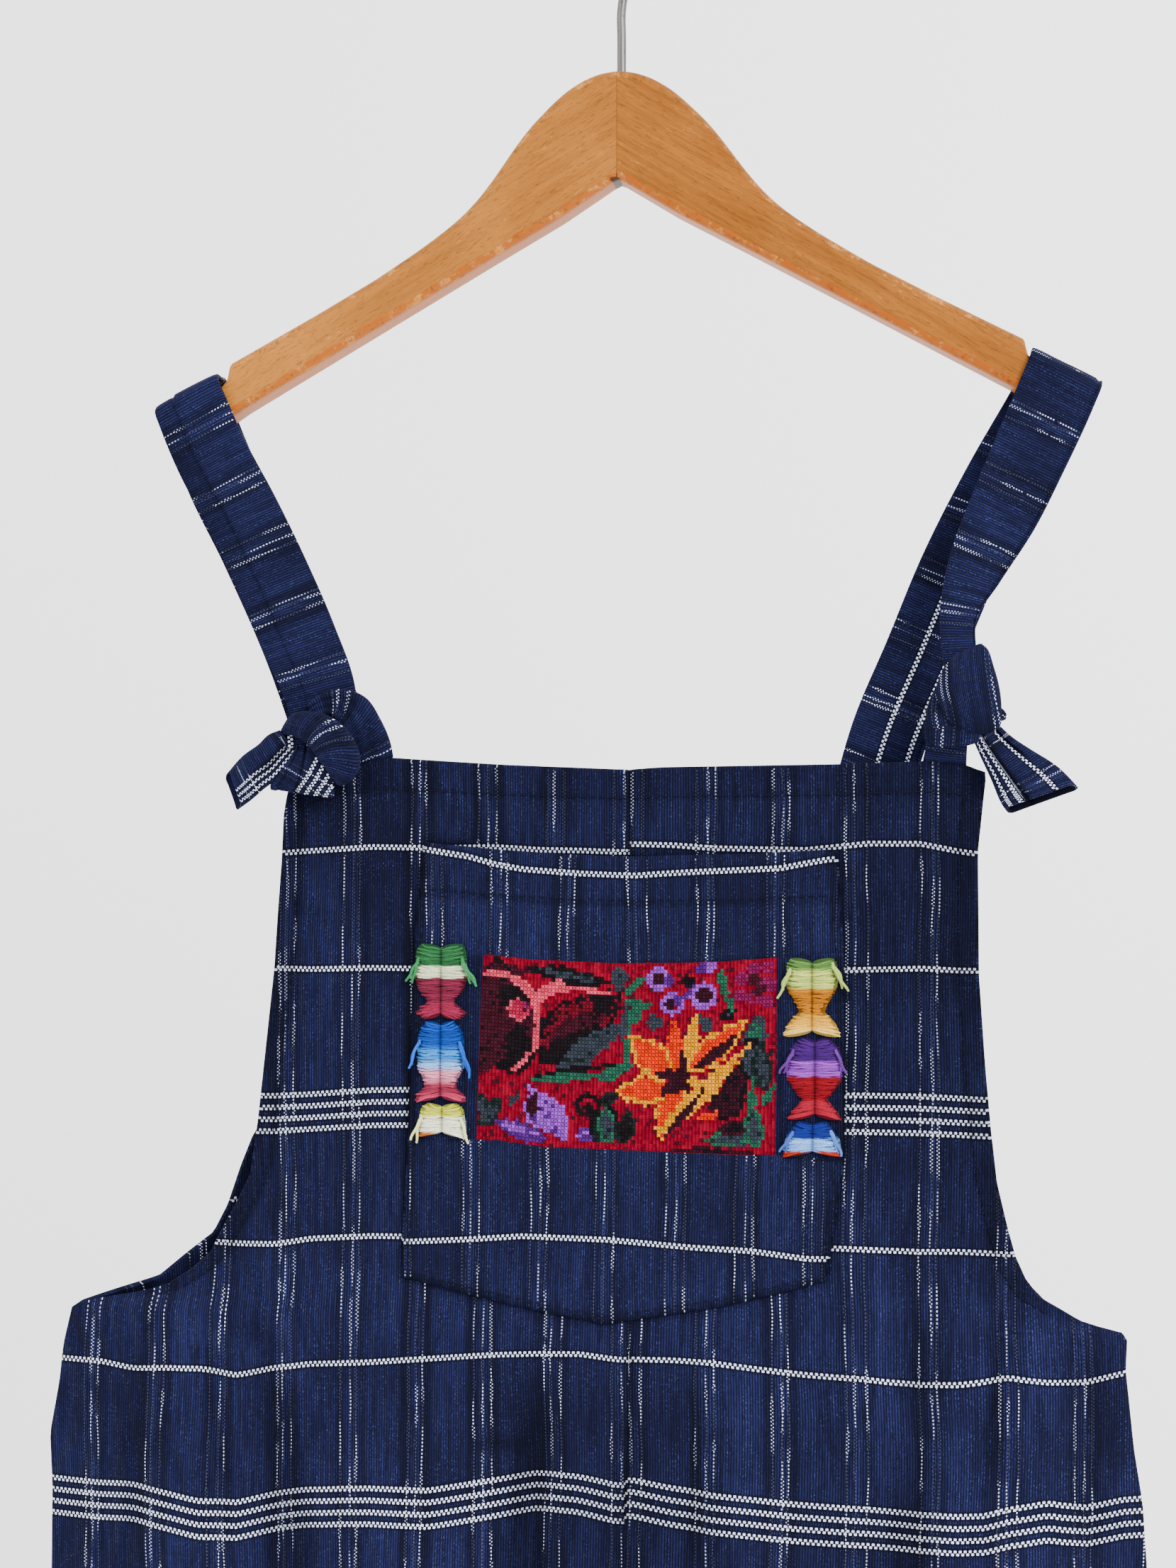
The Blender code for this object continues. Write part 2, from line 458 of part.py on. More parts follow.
def tuft(name, x, drop, side, threads, fall, lean, mat):
    """Loose threads that hang from a short bar, four-sided and thinning to their ends.

    The bar is cut into cells, and from the foot of every second cell a thread runs down along
    x = root + lean * t^1.5 + spread * t, with a slow wave, while it comes forward by a bow.
    """
    pitch = THREAD + THREAD_SPACE
    width = threads * THREAD + (threads + 1) * THREAD_SPACE
    bounds = [0.0]
    for _ in range(threads):
        bounds.append(bounds[-1] + THREAD_SPACE)
        bounds.append(bounds[-1] + THREAD)
    bounds.append(bounds[-1] + THREAD_SPACE)
    start = x if side > 0 else x - width
    base = front_surface(np.array([x]), np.array([drop]))[0]
    far_y = base[1] - pocket_layer() - SEAM_GAP - 0.3
    near_y = far_y - THREAD
    top_z = base[2] + 0.5
    low_z = base[2] - 0.5
    points = []
    for bound in bounds:
        for y, z in ((near_y, top_z), (far_y, top_z), (far_y, low_z), (near_y, low_z)):
            points.append((start + bound, y, z))
    cells = len(bounds) - 1
    faces = [(0, 1, 2, 3), tuple(4 * cells + i for i in (3, 2, 1, 0))]
    for cell in range(cells):
        a, b = 4 * cell, 4 * cell + 4
        faces += [(a, b, b + 1, a + 1), (a + 1, b + 1, b + 2, a + 2), (a, a + 3, b + 3, b)]
        if cell % 2 == 0:
            faces.append((a + 2, b + 2, b + 3, a + 3))
            continue
        ring = [a + 3, b + 3, b + 2, a + 2]
        thread = cell // 2
        root = start + bounds[cell] + THREAD / 2
        spread = (thread - (threads - 1) / 2) * pitch * 0.55
        for step in (1, 2, 3, 4):
            t = step / 4
            size = THREAD / 2 * (1.0 - 0.25 * t)
            cx = root + side * lean * t ** 1.5 + spread * t + 0.25 * math.sin(3.0 * t + thread)
            cy = (near_y + far_y) / 2 - 0.9 * math.sin(math.pi * min(1.0, 0.7 * t + 0.15))
            cz = low_z - fall * t * (1.0 - 0.06 * ((thread * 7) % 3))
            first = len(points)
            points += [(cx - size, cy - size, cz), (cx + size, cy - size, cz),
                       (cx + size, cy + size, cz), (cx - size, cy + size, cz)]
            new = [first, first + 1, first + 2, first + 3]
            for i in range(4):
                j = (i + 1) % 4
                faces.append((ring[i], ring[j], new[j], new[i]))
            ring = new
        faces.append(tuple(ring))
    return add_mesh(name, points, faces, mat)


def raised_stitching(mats):
    """The figures of both strips, and the tufts at their sides."""
    for name, (centre_x, profile) in FIGURES.items():
        figure(name, centre_x, profile, mats[name])
    for name, side, drop, threads, fall, lean in TUFTS:
        centre_x, profile = FIGURES[name]
        widest = max(table(profile)(np.linspace(drop - 1.0, drop + 3.5, 6)))
        edge = centre_x + side * (float(widest) + SEAM_GAP)
        label = "tuft_" + name[6:] + ("_outer" if side == math.copysign(1, centre_x) else "_inner")
        tuft(label, edge, drop, side, threads, fall, lean, mats[name])


# ---------------------------------------------------------------- straps and knots

def band(name, rows, mat, sides=12, power=3.4, mouth=0.0):
    """A closed band carried along a route, with a flattened round section.

    Each ring is a superellipse in the plane of the width's direction and the band's normal,
    which is square to both the route and the width. A mouth sinks the last end's cap.
    """
    data = np.array(rows, dtype=float)
    centres = np.stack([data[:, 0], data[:, 1], BIB_TOP_Z - data[:, 2]], axis=1)
    tangents = np.gradient(centres, axis=0)
    tangents /= np.linalg.norm(tangents, axis=1)[:, None]
    turn = np.radians(data[:, 5])
    width = np.stack([np.cos(turn), np.zeros(len(data)), np.sin(turn)], axis=1)
    normal = np.cross(tangents, width)
    normal /= np.linalg.norm(normal, axis=1)[:, None]
    angle = 2 * math.pi * (np.arange(sides) + 0.5) / sides
    across = np.sign(np.cos(angle)) * np.abs(np.cos(angle)) ** (2 / power)
    through = np.sign(np.sin(angle)) * np.abs(np.sin(angle)) ** (2 / power)
    rings = []
    for centre, w, n, row in zip(centres, width, normal, data):
        rings.append(centre + np.outer(across * row[3], w) + np.outer(through * row[4], n))
    if mouth:
        lip = centres[-1] + (rings[-1] - centres[-1]) * 0.9
        lip -= normal[-1] * ((lip - centres[-1]) @ normal[-1])[:, None] * 0.45
        rings.append(lip)
        rings.append(centres[-1] - tangents[-1] * mouth + (lip - centres[-1]) * 0.8)
    faces = [list(range(sides))]
    for ring in range(len(rings) - 1):
        for i in range(sides):
            j = (i + 1) % sides
            a, b = ring * sides, (ring + 1) * sides
            faces.append([a + i, a + j, b + j, b + i])
    faces.append([(len(rings) - 1) * sides + i for i in reversed(range(sides))])
    return add_mesh(name, np.concatenate(rings), faces, mat)


def straps(mats):
    """Both straps, over the hanger's ends, with the knots that tie them to the bib's tabs."""
    navy, dark = mats["navy"], mats["dark"]
    band("strap_left_front", STRAP_LEFT_FRONT, navy, power=6)
    band("strap_left_back", STRAP_LEFT_BACK, dark, power=6)
    band("strap_right_front", STRAP_RIGHT_FRONT, navy, power=6)
    band("strap_right_back", STRAP_RIGHT_BACK, dark, power=6)
    band("tab_left", TAB_LEFT, dark)
    band("tab_right", TAB_RIGHT, dark)
    band("knot_left", KNOT_LEFT, navy, sides=16, power=2.4)
    band("knot_right", KNOT_RIGHT, navy, sides=16, power=2.4)
    band("tail_left", TAIL_LEFT, navy, sides=14, power=2.6, mouth=TAIL_MOUTH_DEPTH)
    band("tail_right", TAIL_RIGHT, navy, sides=14, power=2.6, mouth=TAIL_MOUTH_DEPTH)


# ---------------------------------------------------------------- hanger and hook

# Half of the hanger's outline: x from its middle and distance below its top
HANGER_TOP_HALF = (
    (8.0, 1.3), (14.0, 4.2), (19.5, 8.2), (24.0, 12.6), (28.5, 17.0), (33.0, 22.6), (38.0, 29.6),
    (43.0, 36.4), (48.5, 42.6), (55.0, 48.2), (65.0, 55.2), (80.0, 64.6), (100.0, 75.6), (128.5, 90.6),
    (129.6, 95.6), (132.4, 98.8), (136.0, 101.0),
)
TIP_CENTRE = (139.5, 108.2)
HANGER_LOWER_HALF = ((124.6, 105.6), (70.0, 75.0), (40.0, 58.2), (19.0, 46.6))
HANGER_MIDDLE_UNDER = 34.6


def arm_outline():
    """Half outline from the top of the dome, round the tip, to the middle of the underside."""
    points = list(HANGER_TOP_HALF)
    for step in range(7):
        angle = math.radians(62 - 30 * step)
        points.append((TIP_CENTRE[0] + TIP_RADIUS * math.cos(angle),
                       TIP_CENTRE[1] - TIP_RADIUS * math.sin(angle)))
    return points + list(HANGER_LOWER_HALF)


def hanger(mat):
    """The bent wooden bar: its outline carried through its thickness, with rounded edges and a bore."""
    half = arm_outline()
    right = [(x, -below) for x, below in half]
    left = [(-x, z) for x, z in reversed(right)]
    outline = [(0.0, 0.0)] + right + [(0.0, -HANGER_MIDDLE_UNDER)] + left
    tilt = math.radians(HANGER_TILT)
    turned = [(HANGER_SHIFT + x * math.cos(tilt) - z * math.sin(tilt),
               APEX_Z + x * math.sin(tilt) + z * math.cos(tilt)) for x, z in outline]
    count = len(turned)
    near = [(x, -HANGER_THICKNESS / 2, z) for x, z in turned]
    far = [(x, HANGER_THICKNESS / 2, z) for x, z in turned]
    faces = [list(range(count)), [count + i for i in reversed(range(count))]]
    for i in range(count):
        j = (i + 1) % count
        faces.append([i, j, count + j, count + i])
    bar = add_mesh("hanger", near + far, faces, mat)
    rounding = bar.modifiers.new("edges", "BEVEL")
    rounding.width = HANGER_EDGE_ROUND * MM
    rounding.segments = 2
    rounding.limit_method = "ANGLE"
    rounding.angle_limit = math.radians(50)
    bpy.ops.mesh.primitive_cylinder_add(
        vertices=12, radius=BORE_RADIUS * MM, depth=2 * (STEM_DEPTH_IN_WOOD + 1.0) * MM,
        location=(0.0, 0.0, APEX_Z * MM))
    drill = bpy.context.object
    drill.name = "hook_bore"
    drill.hide_render = True
    drill.display_type = "WIRE"
    bore = bar.modifiers.new("bore", "BOOLEAN")
    bore.operation = "DIFFERENCE"
    bore.solver = "EXACT"
    bore.object = drill
    return bar


def hook(mat):
    """The wire: up out of the wood, a small sideways bend, then round the hang point."""
    radius = HOOK_INNER_RADIUS + WIRE_RADIUS
    centre_z = WIRE_RADIUS - radius
    route = [(0.0, APEX_Z - STEM_DEPTH_IN_WOOD), (0.0, APEX_Z - 4.0), (0.0, -58.0), (0.0, -49.0),
             (0.6, -45.0), (3.0, -40.6), (7.4, -36.6)]
    for step in range(19):
        angle = math.radians(-48 + 13.5 * step)
        route.append((radius * math.cos(angle), centre_z + radius * math.sin(angle)))
    route.append((-radius - 2.0, centre_z - 9.5))
    centres = np.array([(x, 0.0, z) for x, z in route])
    tangents = np.gradient(centres, axis=0)
    tangents /= np.linalg.norm(tangents, axis=1)[:, None]
    sides = 8
    angle = 2 * math.pi * np.arange(sides) / sides
    rings = []
    for centre, tangent in zip(centres, tangents):
        normal = np.array([tangent[2], 0.0, -tangent[0]])
        ring = np.outer(np.cos(angle), normal) + np.outer(np.sin(angle), (0.0, 1.0, 0.0))
        rings.append(centre + WIRE_RADIUS * ring)
    faces = [list(range(sides))]
    for ring in range(len(rings) - 1):
        a, b = ring * sides, (ring + 1) * sides
        for i in range(sides):
            j = (i + 1) % sides
            faces.append([a + i, a + j, b + j, b + i])
    faces.append([(len(rings) - 1) * sides + i for i in reversed(range(sides))])
    return add_mesh("hook", np.concatenate(rings), faces, mat)


def main():
    """Build every piece."""
    clear_scene()
    mats = {
        "navy": make_material("indigo cloth", INDIGO, 0.85),
        "dark": make_material("indigo cloth, shaded side", INDIGO_DARK, 0.85),
        "red": make_material("embroidered patch", RED_GROUND, 0.8),
        "beech": make_material("varnished beech", BEECH, 0.4),
        "wire": make_material("hook wire", WIRE, 0.35, 1.0),
    }
    for name, colour in THREAD_COLOURS.items():
        mats[name] = make_material("thread " + name, colour, 0.75)
    hanger(mats["beech"])
    hook(mats["wire"])
    body_panel("front_left", -1, -1, mats["navy"])
    body_panel("front_right", 1, -1, mats["navy"])
    body_panel("back_left", -1, 1, mats["dark"])
    body_panel("back_right", 1, 1, mats["dark"])
    pocket(mats)
    raised_stitching(mats)
    straps(mats)


main()
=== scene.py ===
"""The looks of a small child's bib overalls, hung by their knotted straps on a wooden hanger.

Lengths are in millimetres until a mesh is written. +X is to the right as the front is looked at,
+Y away from the viewer and +Z up; the origin is the inside top of the hanger's hook. Heights on
the garment are "drops", millimetres below the middle of the bib's top edge. Cloth pieces carry
a UV map called weave, in which u counts across the warp threads and v along them.
"""
import math
from functools import partialmethod

import bmesh
import bpy
import numpy as np
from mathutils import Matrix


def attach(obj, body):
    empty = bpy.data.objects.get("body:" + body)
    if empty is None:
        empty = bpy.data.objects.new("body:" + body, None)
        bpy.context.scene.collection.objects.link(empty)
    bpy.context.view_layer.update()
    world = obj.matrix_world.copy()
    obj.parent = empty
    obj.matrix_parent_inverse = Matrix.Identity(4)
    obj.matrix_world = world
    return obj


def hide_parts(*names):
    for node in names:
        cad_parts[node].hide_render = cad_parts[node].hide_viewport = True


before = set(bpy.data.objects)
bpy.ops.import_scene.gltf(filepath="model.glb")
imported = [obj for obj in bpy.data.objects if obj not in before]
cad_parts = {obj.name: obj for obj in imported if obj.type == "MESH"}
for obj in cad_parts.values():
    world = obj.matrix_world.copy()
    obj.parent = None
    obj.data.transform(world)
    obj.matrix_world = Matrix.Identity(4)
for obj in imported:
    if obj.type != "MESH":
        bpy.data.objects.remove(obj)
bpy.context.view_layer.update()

MM = 0.001
BODY = "root"
BIB_TOP_Z = -296.4
CLOTH = 1.5               # thickness of the body's walls
POCKET_CLOTH = 1.2
CROTCH_DROP = 430.0
RISE_CURVE = 75.0         # the body turns into two legs over this, down to the crotch
HEM_DROP = 810.0
BACK_TOP_DROP = 25.0
LEG_SPREAD = 6.0          # between the inseam and the middle, at the hem
TOP_FADE = 45.0           # the top edge's rises and dips die away by this drop


# ---------------------------------------------------------------- meshes

def smooth_step(t):
    """0 below 0, 1 above 1, and 3t^2 - 2t^3 between."""
    t = np.clip(t, 0.0, 1.0)
    return t * t * (3.0 - 2.0 * t)


def column(rows, number=1):
    """A function of one length: straight lines between the rows of a table."""
    table = np.array(rows, dtype=float)
    return lambda at: np.interp(at, table[:, 0], table[:, number])


def eased(rows, reach):
    """A function through a table's rows whose corners are eased over a length on either side."""
    plain = column(rows)
    return lambda at: sum(plain(np.clip(at + reach * k, rows[0][0], rows[-1][0])) for k in
                          (-1.0, -0.6, -0.2, 0.2, 0.6, 1.0)) / 6.0


def grid_faces(rows, cols, wrap=False):
    """The four-sided faces of a grid of points, closed across its columns if it wraps."""
    r, c = np.meshgrid(np.arange(rows - 1), np.arange(cols if wrap else cols - 1), indexing="ij")
    a = r * cols + c
    b = r * cols + (c + 1) % cols
    return np.stack([a, b, b + cols, a + cols], axis=-1).reshape(-1, 4)


def capped_faces(rings, sides):
    """The faces of a closed tube, with one many-sided face over each end."""
    last = (rings - 1) * sides
    return ([list(range(sides))] + grid_faces(rings, sides, wrap=True).tolist()
            + [list(range(last, last + sides))[::-1]])


def add_piece(name, points, faces, material, replaces=(), weave=None, tint=None,
              face_tint=None, shade=None, sharp=50.0):
    """One closed piece that rides with the garment; its faces are turned outwards.

    Cloth carries its weave map and a shade that multiplies its colour: 1 as usual, less for
    painted shade in folds and for darker places such as hems, and more where it is painted lighter.
    """
    mesh = bpy.data.meshes.new(name)
    mesh.from_pydata((np.asarray(points) * MM).tolist(), [], [list(map(int, f)) for f in faces])
    shell = bmesh.new()
    shell.from_mesh(mesh)
    bmesh.ops.recalc_face_normals(shell, faces=shell.faces)
    shell.to_mesh(mesh)
    shell.free()
    corner = np.empty(len(mesh.loops), dtype=np.int32)
    mesh.loops.foreach_get("vertex_index", corner)
    if weave is not None:
        layer = mesh.uv_layers.new(name="weave")
        layer.data.foreach_set("uv", (np.asarray(weave) * MM)[corner].astype(np.float32).ravel())
        layer = mesh.attributes.new("shade", "FLOAT", "POINT")
        level = np.ones(len(points)) if shade is None else np.asarray(shade)
        layer.data.foreach_set("value", level.astype(np.float32))
    if tint is not None:
        layer = mesh.color_attributes.new("tint", "FLOAT_COLOR", "POINT")
        layer.data.foreach_set("color", np.asarray(tint, dtype=np.float32).ravel())
    if face_tint is not None:
        sizes = np.empty(len(mesh.polygons), dtype=np.int32)
        mesh.polygons.foreach_get("loop_total", sizes)
        layer = mesh.color_attributes.new("tint", "FLOAT_COLOR", "CORNER")
        corner_tint = np.repeat(face_tint, sizes, axis=0).astype(np.float32)
        layer.data.foreach_set("color", corner_tint.ravel())
    mesh.shade_smooth()
    mesh.set_sharp_from_angle(angle=math.radians(sharp))
    mesh.materials.append(material)
    obj = bpy.data.objects.new(name, mesh)
    bpy.context.scene.collection.objects.link(obj)
    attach(obj, BODY)
    if replaces:
        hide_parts(*replaces)
    return obj


def unit(vectors):
    """Each vector over its own length."""
    return vectors / np.maximum(np.linalg.norm(vectors, axis=-1, keepdims=True), 1e-9)


def surface_normals(surface, towards):
    """Normals of a grid of points: the cross product of its two directions, turned one way."""
    normals = unit(np.cross(np.gradient(surface, axis=1), np.gradient(surface, axis=0)))
    return normals if (normals @ np.array(towards, dtype=float)).mean() > 0 else -normals


def cloth_wall(surface, towards, out, back):
    """A closed wall of cloth on a grid of points, with a rounded rim.

    The near face lies `out` along the normals and the far face `back` the other way; a ring
    between them bulges past the edge by half the wall.
    """
    rows, cols = surface.shape[:2]
    normals = surface_normals(surface, towards)
    near = surface + normals * np.broadcast_to(out, (rows, cols))[..., None]
    far = surface - normals * np.broadcast_to(back, (rows, cols))[..., None]
    index = np.arange(rows * cols).reshape(rows, cols)
    rim = np.concatenate([index[0, :], index[1:, -1], index[-1, -2::-1], index[-2:0:-1, 0]])
    r, c = np.divmod(rim, cols)
    inside = surface[np.clip(r, 1, rows - 2), np.clip(c, 1, cols - 2)]
    flat_near, flat_far = near.reshape(-1, 3), far.reshape(-1, 3)
    middle = (flat_near[rim] + flat_far[rim]) / 2
    half = np.linalg.norm(flat_near[rim] - flat_far[rim], axis=1)[:, None] / 2
    bulge = middle + unit(middle - inside) * half
    points = np.concatenate([flat_near, flat_far, bulge])
    count = rows * cols
    ahead = np.roll(rim, -1)
    ring = 2 * count + np.arange(len(rim))
    ring_ahead = np.roll(ring, -1)
    faces = np.concatenate([
        grid_faces(rows, cols),
        grid_faces(rows, cols)[:, ::-1] + count,
        np.stack([ahead, rim, ring, ring_ahead], axis=1),
        np.stack([ring_ahead, ring, rim + count, ahead + count], axis=1),
    ])
    return points, faces, rim


def wall_values(values, rim):
    """What a wall's points carry: the same on both faces, and carried round the rim."""
    flat = values.reshape(-1, *values.shape[2:])
    return np.concatenate([flat, flat, flat[rim]])


def smooth_rows(rows, count):
    """A station table made finer: a cubic through its rows, by the distance between centres."""
    data = np.array(rows, dtype=float)
    step = np.linalg.norm(np.diff(data[:, :3], axis=0), axis=1)
    at = np.concatenate([[0.0], np.cumsum(step)])
    slope = np.gradient(data, at, axis=0)
    fine = np.linspace(0.0, at[-1], count)
    k = np.clip(np.searchsorted(at, fine, side="right") - 1, 0, len(at) - 2)
    h = (at[k + 1] - at[k])[:, None]
    t = ((fine - at[k])[:, None]) / h
    value = ((2 * t ** 3 - 3 * t ** 2 + 1) * data[k] + (t ** 3 - 2 * t ** 2 + t) * h * slope[k]
             + (3 * t ** 2 - 2 * t ** 3) * data[k + 1] + (t ** 3 - t ** 2) * h * slope[k + 1])
    return value, fine


def swept_band(rows, count, sides, power, relief=None, mouth=0.0, slant=0.0):
    """Folded cloth carried along a route of x, y, drop, half width, half thickness and turn.

    Each ring is a superellipse across the width's direction and the band's normal, which is
    square to the route and the width; relief(length, across) moves the near side out or in.
    A mouth turns the last ring inwards, and a slant draws the near side's end back to show it.
    Returns the points, faces, and for every point its length, place and distance across.
    """
    data, length = smooth_rows(rows, count)
    centres = np.stack([data[:, 0], data[:, 1], BIB_TOP_Z - data[:, 2]], axis=1)
    tangents = unit(np.gradient(centres, axis=0))
    turn = np.radians(data[:, 5])
    width = np.stack([np.cos(turn), np.zeros(count), np.sin(turn)], axis=1)
    normal = unit(np.cross(tangents, width))
    angle = 2 * math.pi * (np.arange(sides) + 0.5) / sides
    across = np.cos(angle)
    through = np.sign(np.sin(angle)) * (1.0 - np.abs(across) ** power) ** (1 / power)
    near = np.where(normal[:, 1] > 0, -1.0, 1.0)[:, None]
    offset = through[None, :] * data[:, 4:5]
    if relief is not None:
        amount = relief(length[:, None], across[None, :])
        offset = offset + near * amount * np.clip(near * through[None, :] * 1.6, 0.0, 1.0)
    rings = (centres[:, None, :] + width[:, None, :] * (across[None, :] * data[:, 3:4])[..., None]
             + normal[:, None, :] * offset[..., None])
    if slant:
        drawn = slant * smooth_step((length - length[-1] + 9.0) / 9.0)[:, None]
        nearness = np.clip(near * through[None, :] * 0.7 + 0.5, 0.0, 1.0)
        rings = rings - tangents[:, None, :] * (drawn * nearness)[..., None]
    lengths = np.repeat(length, sides)
    places = np.tile(across, count)
    widths = (across[None, :] * data[:, 3:4]).ravel()
    if mouth:
        extra = []
        for depth, shrink in ((0.15, 0.93), (0.6, 0.86), (1.0, 0.8)):
            ring = centres[-1] + (rings[-1] - centres[-1]) * shrink
            extra.append(ring - tangents[-1] * mouth * (depth - 0.15))
        rings = np.concatenate([rings, np.array(extra)])
        lengths = np.concatenate([lengths, np.repeat(length[-1] + 10.0, 3 * sides)])
        places = np.concatenate([places, np.tile(across, 3)])
        widths = np.concatenate([widths, np.tile(across, 3) * data[-1, 3]])
    return rings.reshape(-1, 3), capped_faces(len(rings), sides), lengths, places, widths


def tubes(paths, radii, sides=6):
    """Many round threads at once: paths is threads x stations x 3, radii threads x stations."""
    threads, stations = paths.shape[:2]
    tangents = unit(np.gradient(paths, axis=1))
    helper = np.where(np.abs(tangents[..., 1:2]) > 0.8, [[[1.0, 0.0, 0.0]]], [[[0.0, 1.0, 0.0]]])
    first = unit(np.cross(tangents, helper))
    second = np.cross(tangents, first)
    angle = 2 * math.pi * np.arange(sides) / sides
    rings = (paths[:, :, None, :] + radii[:, :, None, None]
             * (first[:, :, None, :] * np.cos(angle)[None, None, :, None]
                + second[:, :, None, :] * np.sin(angle)[None, None, :, None]))
    one = grid_faces(stations, sides, wrap=True)
    per = stations * sides
    starts = np.arange(threads) * per
    faces = (one[None] + starts[:, None, None]).reshape(-1, 4).tolist()
    for start in starts:
        faces.append(list(range(start, start + sides)))
        faces.append(list(range(start + per - sides, start + per))[::-1])
    return rings.reshape(-1, 3), faces


# ---------------------------------------------------------------- materials

def add_node(tree, kind, inputs=(), **settings):
    """A node with its settings made; each input, by place or name, is a link or a plain value."""
    node = tree.nodes.new("ShaderNode" + kind)
    for setting, value in settings.items():
        setattr(node, setting, value)
    for place, value in inputs:
        if isinstance(value, Term):
            tree.links.new(value.socket, node.inputs[place])
        elif isinstance(value, bpy.types.NodeSocket):
            tree.links.new(value, node.inputs[place])
        else:
            node.inputs[place].default_value = (*value, 1.0) if isinstance(value, tuple) else value
    return node


class Term:
    """A number in a material; sums, products and comparisons of terms become Math nodes."""

    def __init__(self, tree, socket):
        self.tree = tree
        self.socket = socket

    def math(self, operation, *others):
        """A Math node of this term and the others, each a term or a plain number."""
        node = add_node(self.tree, "Math", enumerate((self, *others)), operation=operation)
        return Term(self.tree, node.outputs[0])

    __add__ = __radd__ = partialmethod(math, "ADD")
    __sub__ = partialmethod(math, "SUBTRACT")
    __mul__ = __rmul__ = partialmethod(math, "MULTIPLY")
    __truediv__ = partialmethod(math, "DIVIDE")
    fract = partialmethod(math, "FRACT")
    floor = partialmethod(math, "FLOOR")
    nearest = partialmethod(math, "ROUND")
    size = partialmethod(math, "ABSOLUTE")
    sign = partialmethod(math, "SIGN")
    above = partialmethod(math, "GREATER_THAN")
    below = partialmethod(math, "LESS_THAN")
    lower = partialmethod(math, "MINIMUM")
    higher = partialmethod(math, "MAXIMUM")

    def less_from(self, whole):
        """The whole less this term."""
        return self * -1.0 + whole

    def ripple(self):
        """A sine from 0 to 1, one wave for every whole number."""
        return (self * math.tau).math("SINE") * 0.5 + 0.5

    def spot(self, radius, other, other_radius, power=2.0):
        """1 inside a rounded spot that is round a place where both terms are 0."""
        mine = (self.size() / radius).math("POWER", power)
        theirs = (other.size() / other_radius).math("POWER", power)
        return (mine + theirs).between(1.35, 0.65)

    def between(self, low, high):
        """0 at low and 1 at high, smooth between them; high may be the smaller."""
        rising = float(low < high)
        node = add_node(self.tree, "MapRange", (
            ("Value", self), ("From Min", min(low, high)), ("From Max", max(low, high)),
            ("To Min", 1.0 - rising), ("To Max", rising)), interpolation_type="SMOOTHSTEP")
        return Term(self.tree, node.outputs["Result"])


class Finish:
    """A material under construction: its coordinates, noises, colour mixes and shader."""

    def __init__(self, name, roughness, metallic=0.0, sheen=0.0, coat=0.0, glint=0.5):
        self.material = bpy.data.materials.new(name)
        self.material.use_nodes = True
        self.tree = self.material.node_tree
        self.shader = self.tree.nodes["Principled BSDF"]
        self.shader.inputs["Roughness"].default_value = roughness
        self.shader.inputs["Metallic"].default_value = metallic
        self.shader.inputs["Specular IOR Level"].default_value = glint
        self.shader.inputs["Sheen Weight"].default_value = sheen
        self.shader.inputs["Sheen Roughness"].default_value = 0.4
        self.shader.inputs["Coat Weight"].default_value = coat
        self.shader.inputs["Coat Roughness"].default_value = 0.25

    def split(self, vector_socket, scale):
        """A vector's three parts, each times a scale."""
        node = add_node(self.tree, "SeparateXYZ", [(0, vector_socket)])
        return [Term(self.tree, out) * scale for out in node.outputs]

    def weave(self):
        """The weave map's u and v in millimetres."""
        return self.split(add_node(self.tree, "UVMap", uv_map="weave").outputs[0], 1000.0)[:2]

    def place(self):
        """Object coordinates x, y and z in millimetres."""
        return self.split(add_node(self.tree, "TexCoord").outputs["Object"], 1000.0)

    def shade(self):
        """The piece's shade attribute: mostly painted shade and light."""
        node = add_node(self.tree, "Attribute", attribute_name="shade")
        return Term(self.tree, node.outputs["Fac"])

    def tint(self):
        """The piece's own colours and their fourth number."""
        node = add_node(self.tree, "Attribute", attribute_name="tint")
        return node.outputs["Color"], Term(self.tree, node.outputs["Alpha"])

    def vector(self, parts):
        """Three terms or plain numbers as one vector."""
        return add_node(self.tree, "CombineXYZ", enumerate(parts)).outputs[0]

    def noise(self, parts, detail=2.0, roughness=0.5):
        """Smooth noise from 0 to 1 over coordinates that are already divided by its grain."""
        node = add_node(self.tree, "TexNoise", (
            ("Vector", self.vector(parts)), ("Scale", 1.0), ("Detail", detail),
            ("Roughness", roughness)))
        return Term(self.tree, node.outputs["Fac"])

    def chance(self, *parts):
        """A steady chance number from 0 to 1 for whole-numbered places."""
        node = add_node(self.tree, "TexWhiteNoise", [("Vector", self.vector(parts))],
                        noise_dimensions="3D")
        return Term(self.tree, node.outputs["Value"])

    def mix(self, amount, first, second, blend="MIX"):
        """The second colour laid over the first by an amount from 0 to 1."""
        node = add_node(self.tree, "Mix", ((0, amount), (6, first), (7, second)),
                        data_type="RGBA", blend_type=blend)
        return node.outputs[2]

    def shaded(self, colour, level):
        """A colour times a number."""
        grey = add_node(self.tree, "CombineColor", [(place, level) for place in range(3)])
        return self.mix(1.0, colour, grey.outputs[0], "MULTIPLY")

    def done(self, colour, height=None, depth_mm=0.3, strength=0.8, roughness=None):
        """Link the colour, and a height from 0 to 1 that stands depth_mm proud."""
        self.tree.links.new(colour, self.shader.inputs["Base Color"])
        if height is not None:
            bump = add_node(self.tree, "Bump", (
                ("Strength", strength), ("Distance", depth_mm * MM), ("Height", height)))
            self.tree.links.new(bump.outputs[0], self.shader.inputs["Normal"])
        if roughness is not None:
            self.tree.links.new(roughness.socket, self.shader.inputs["Roughness"])
        return self.material
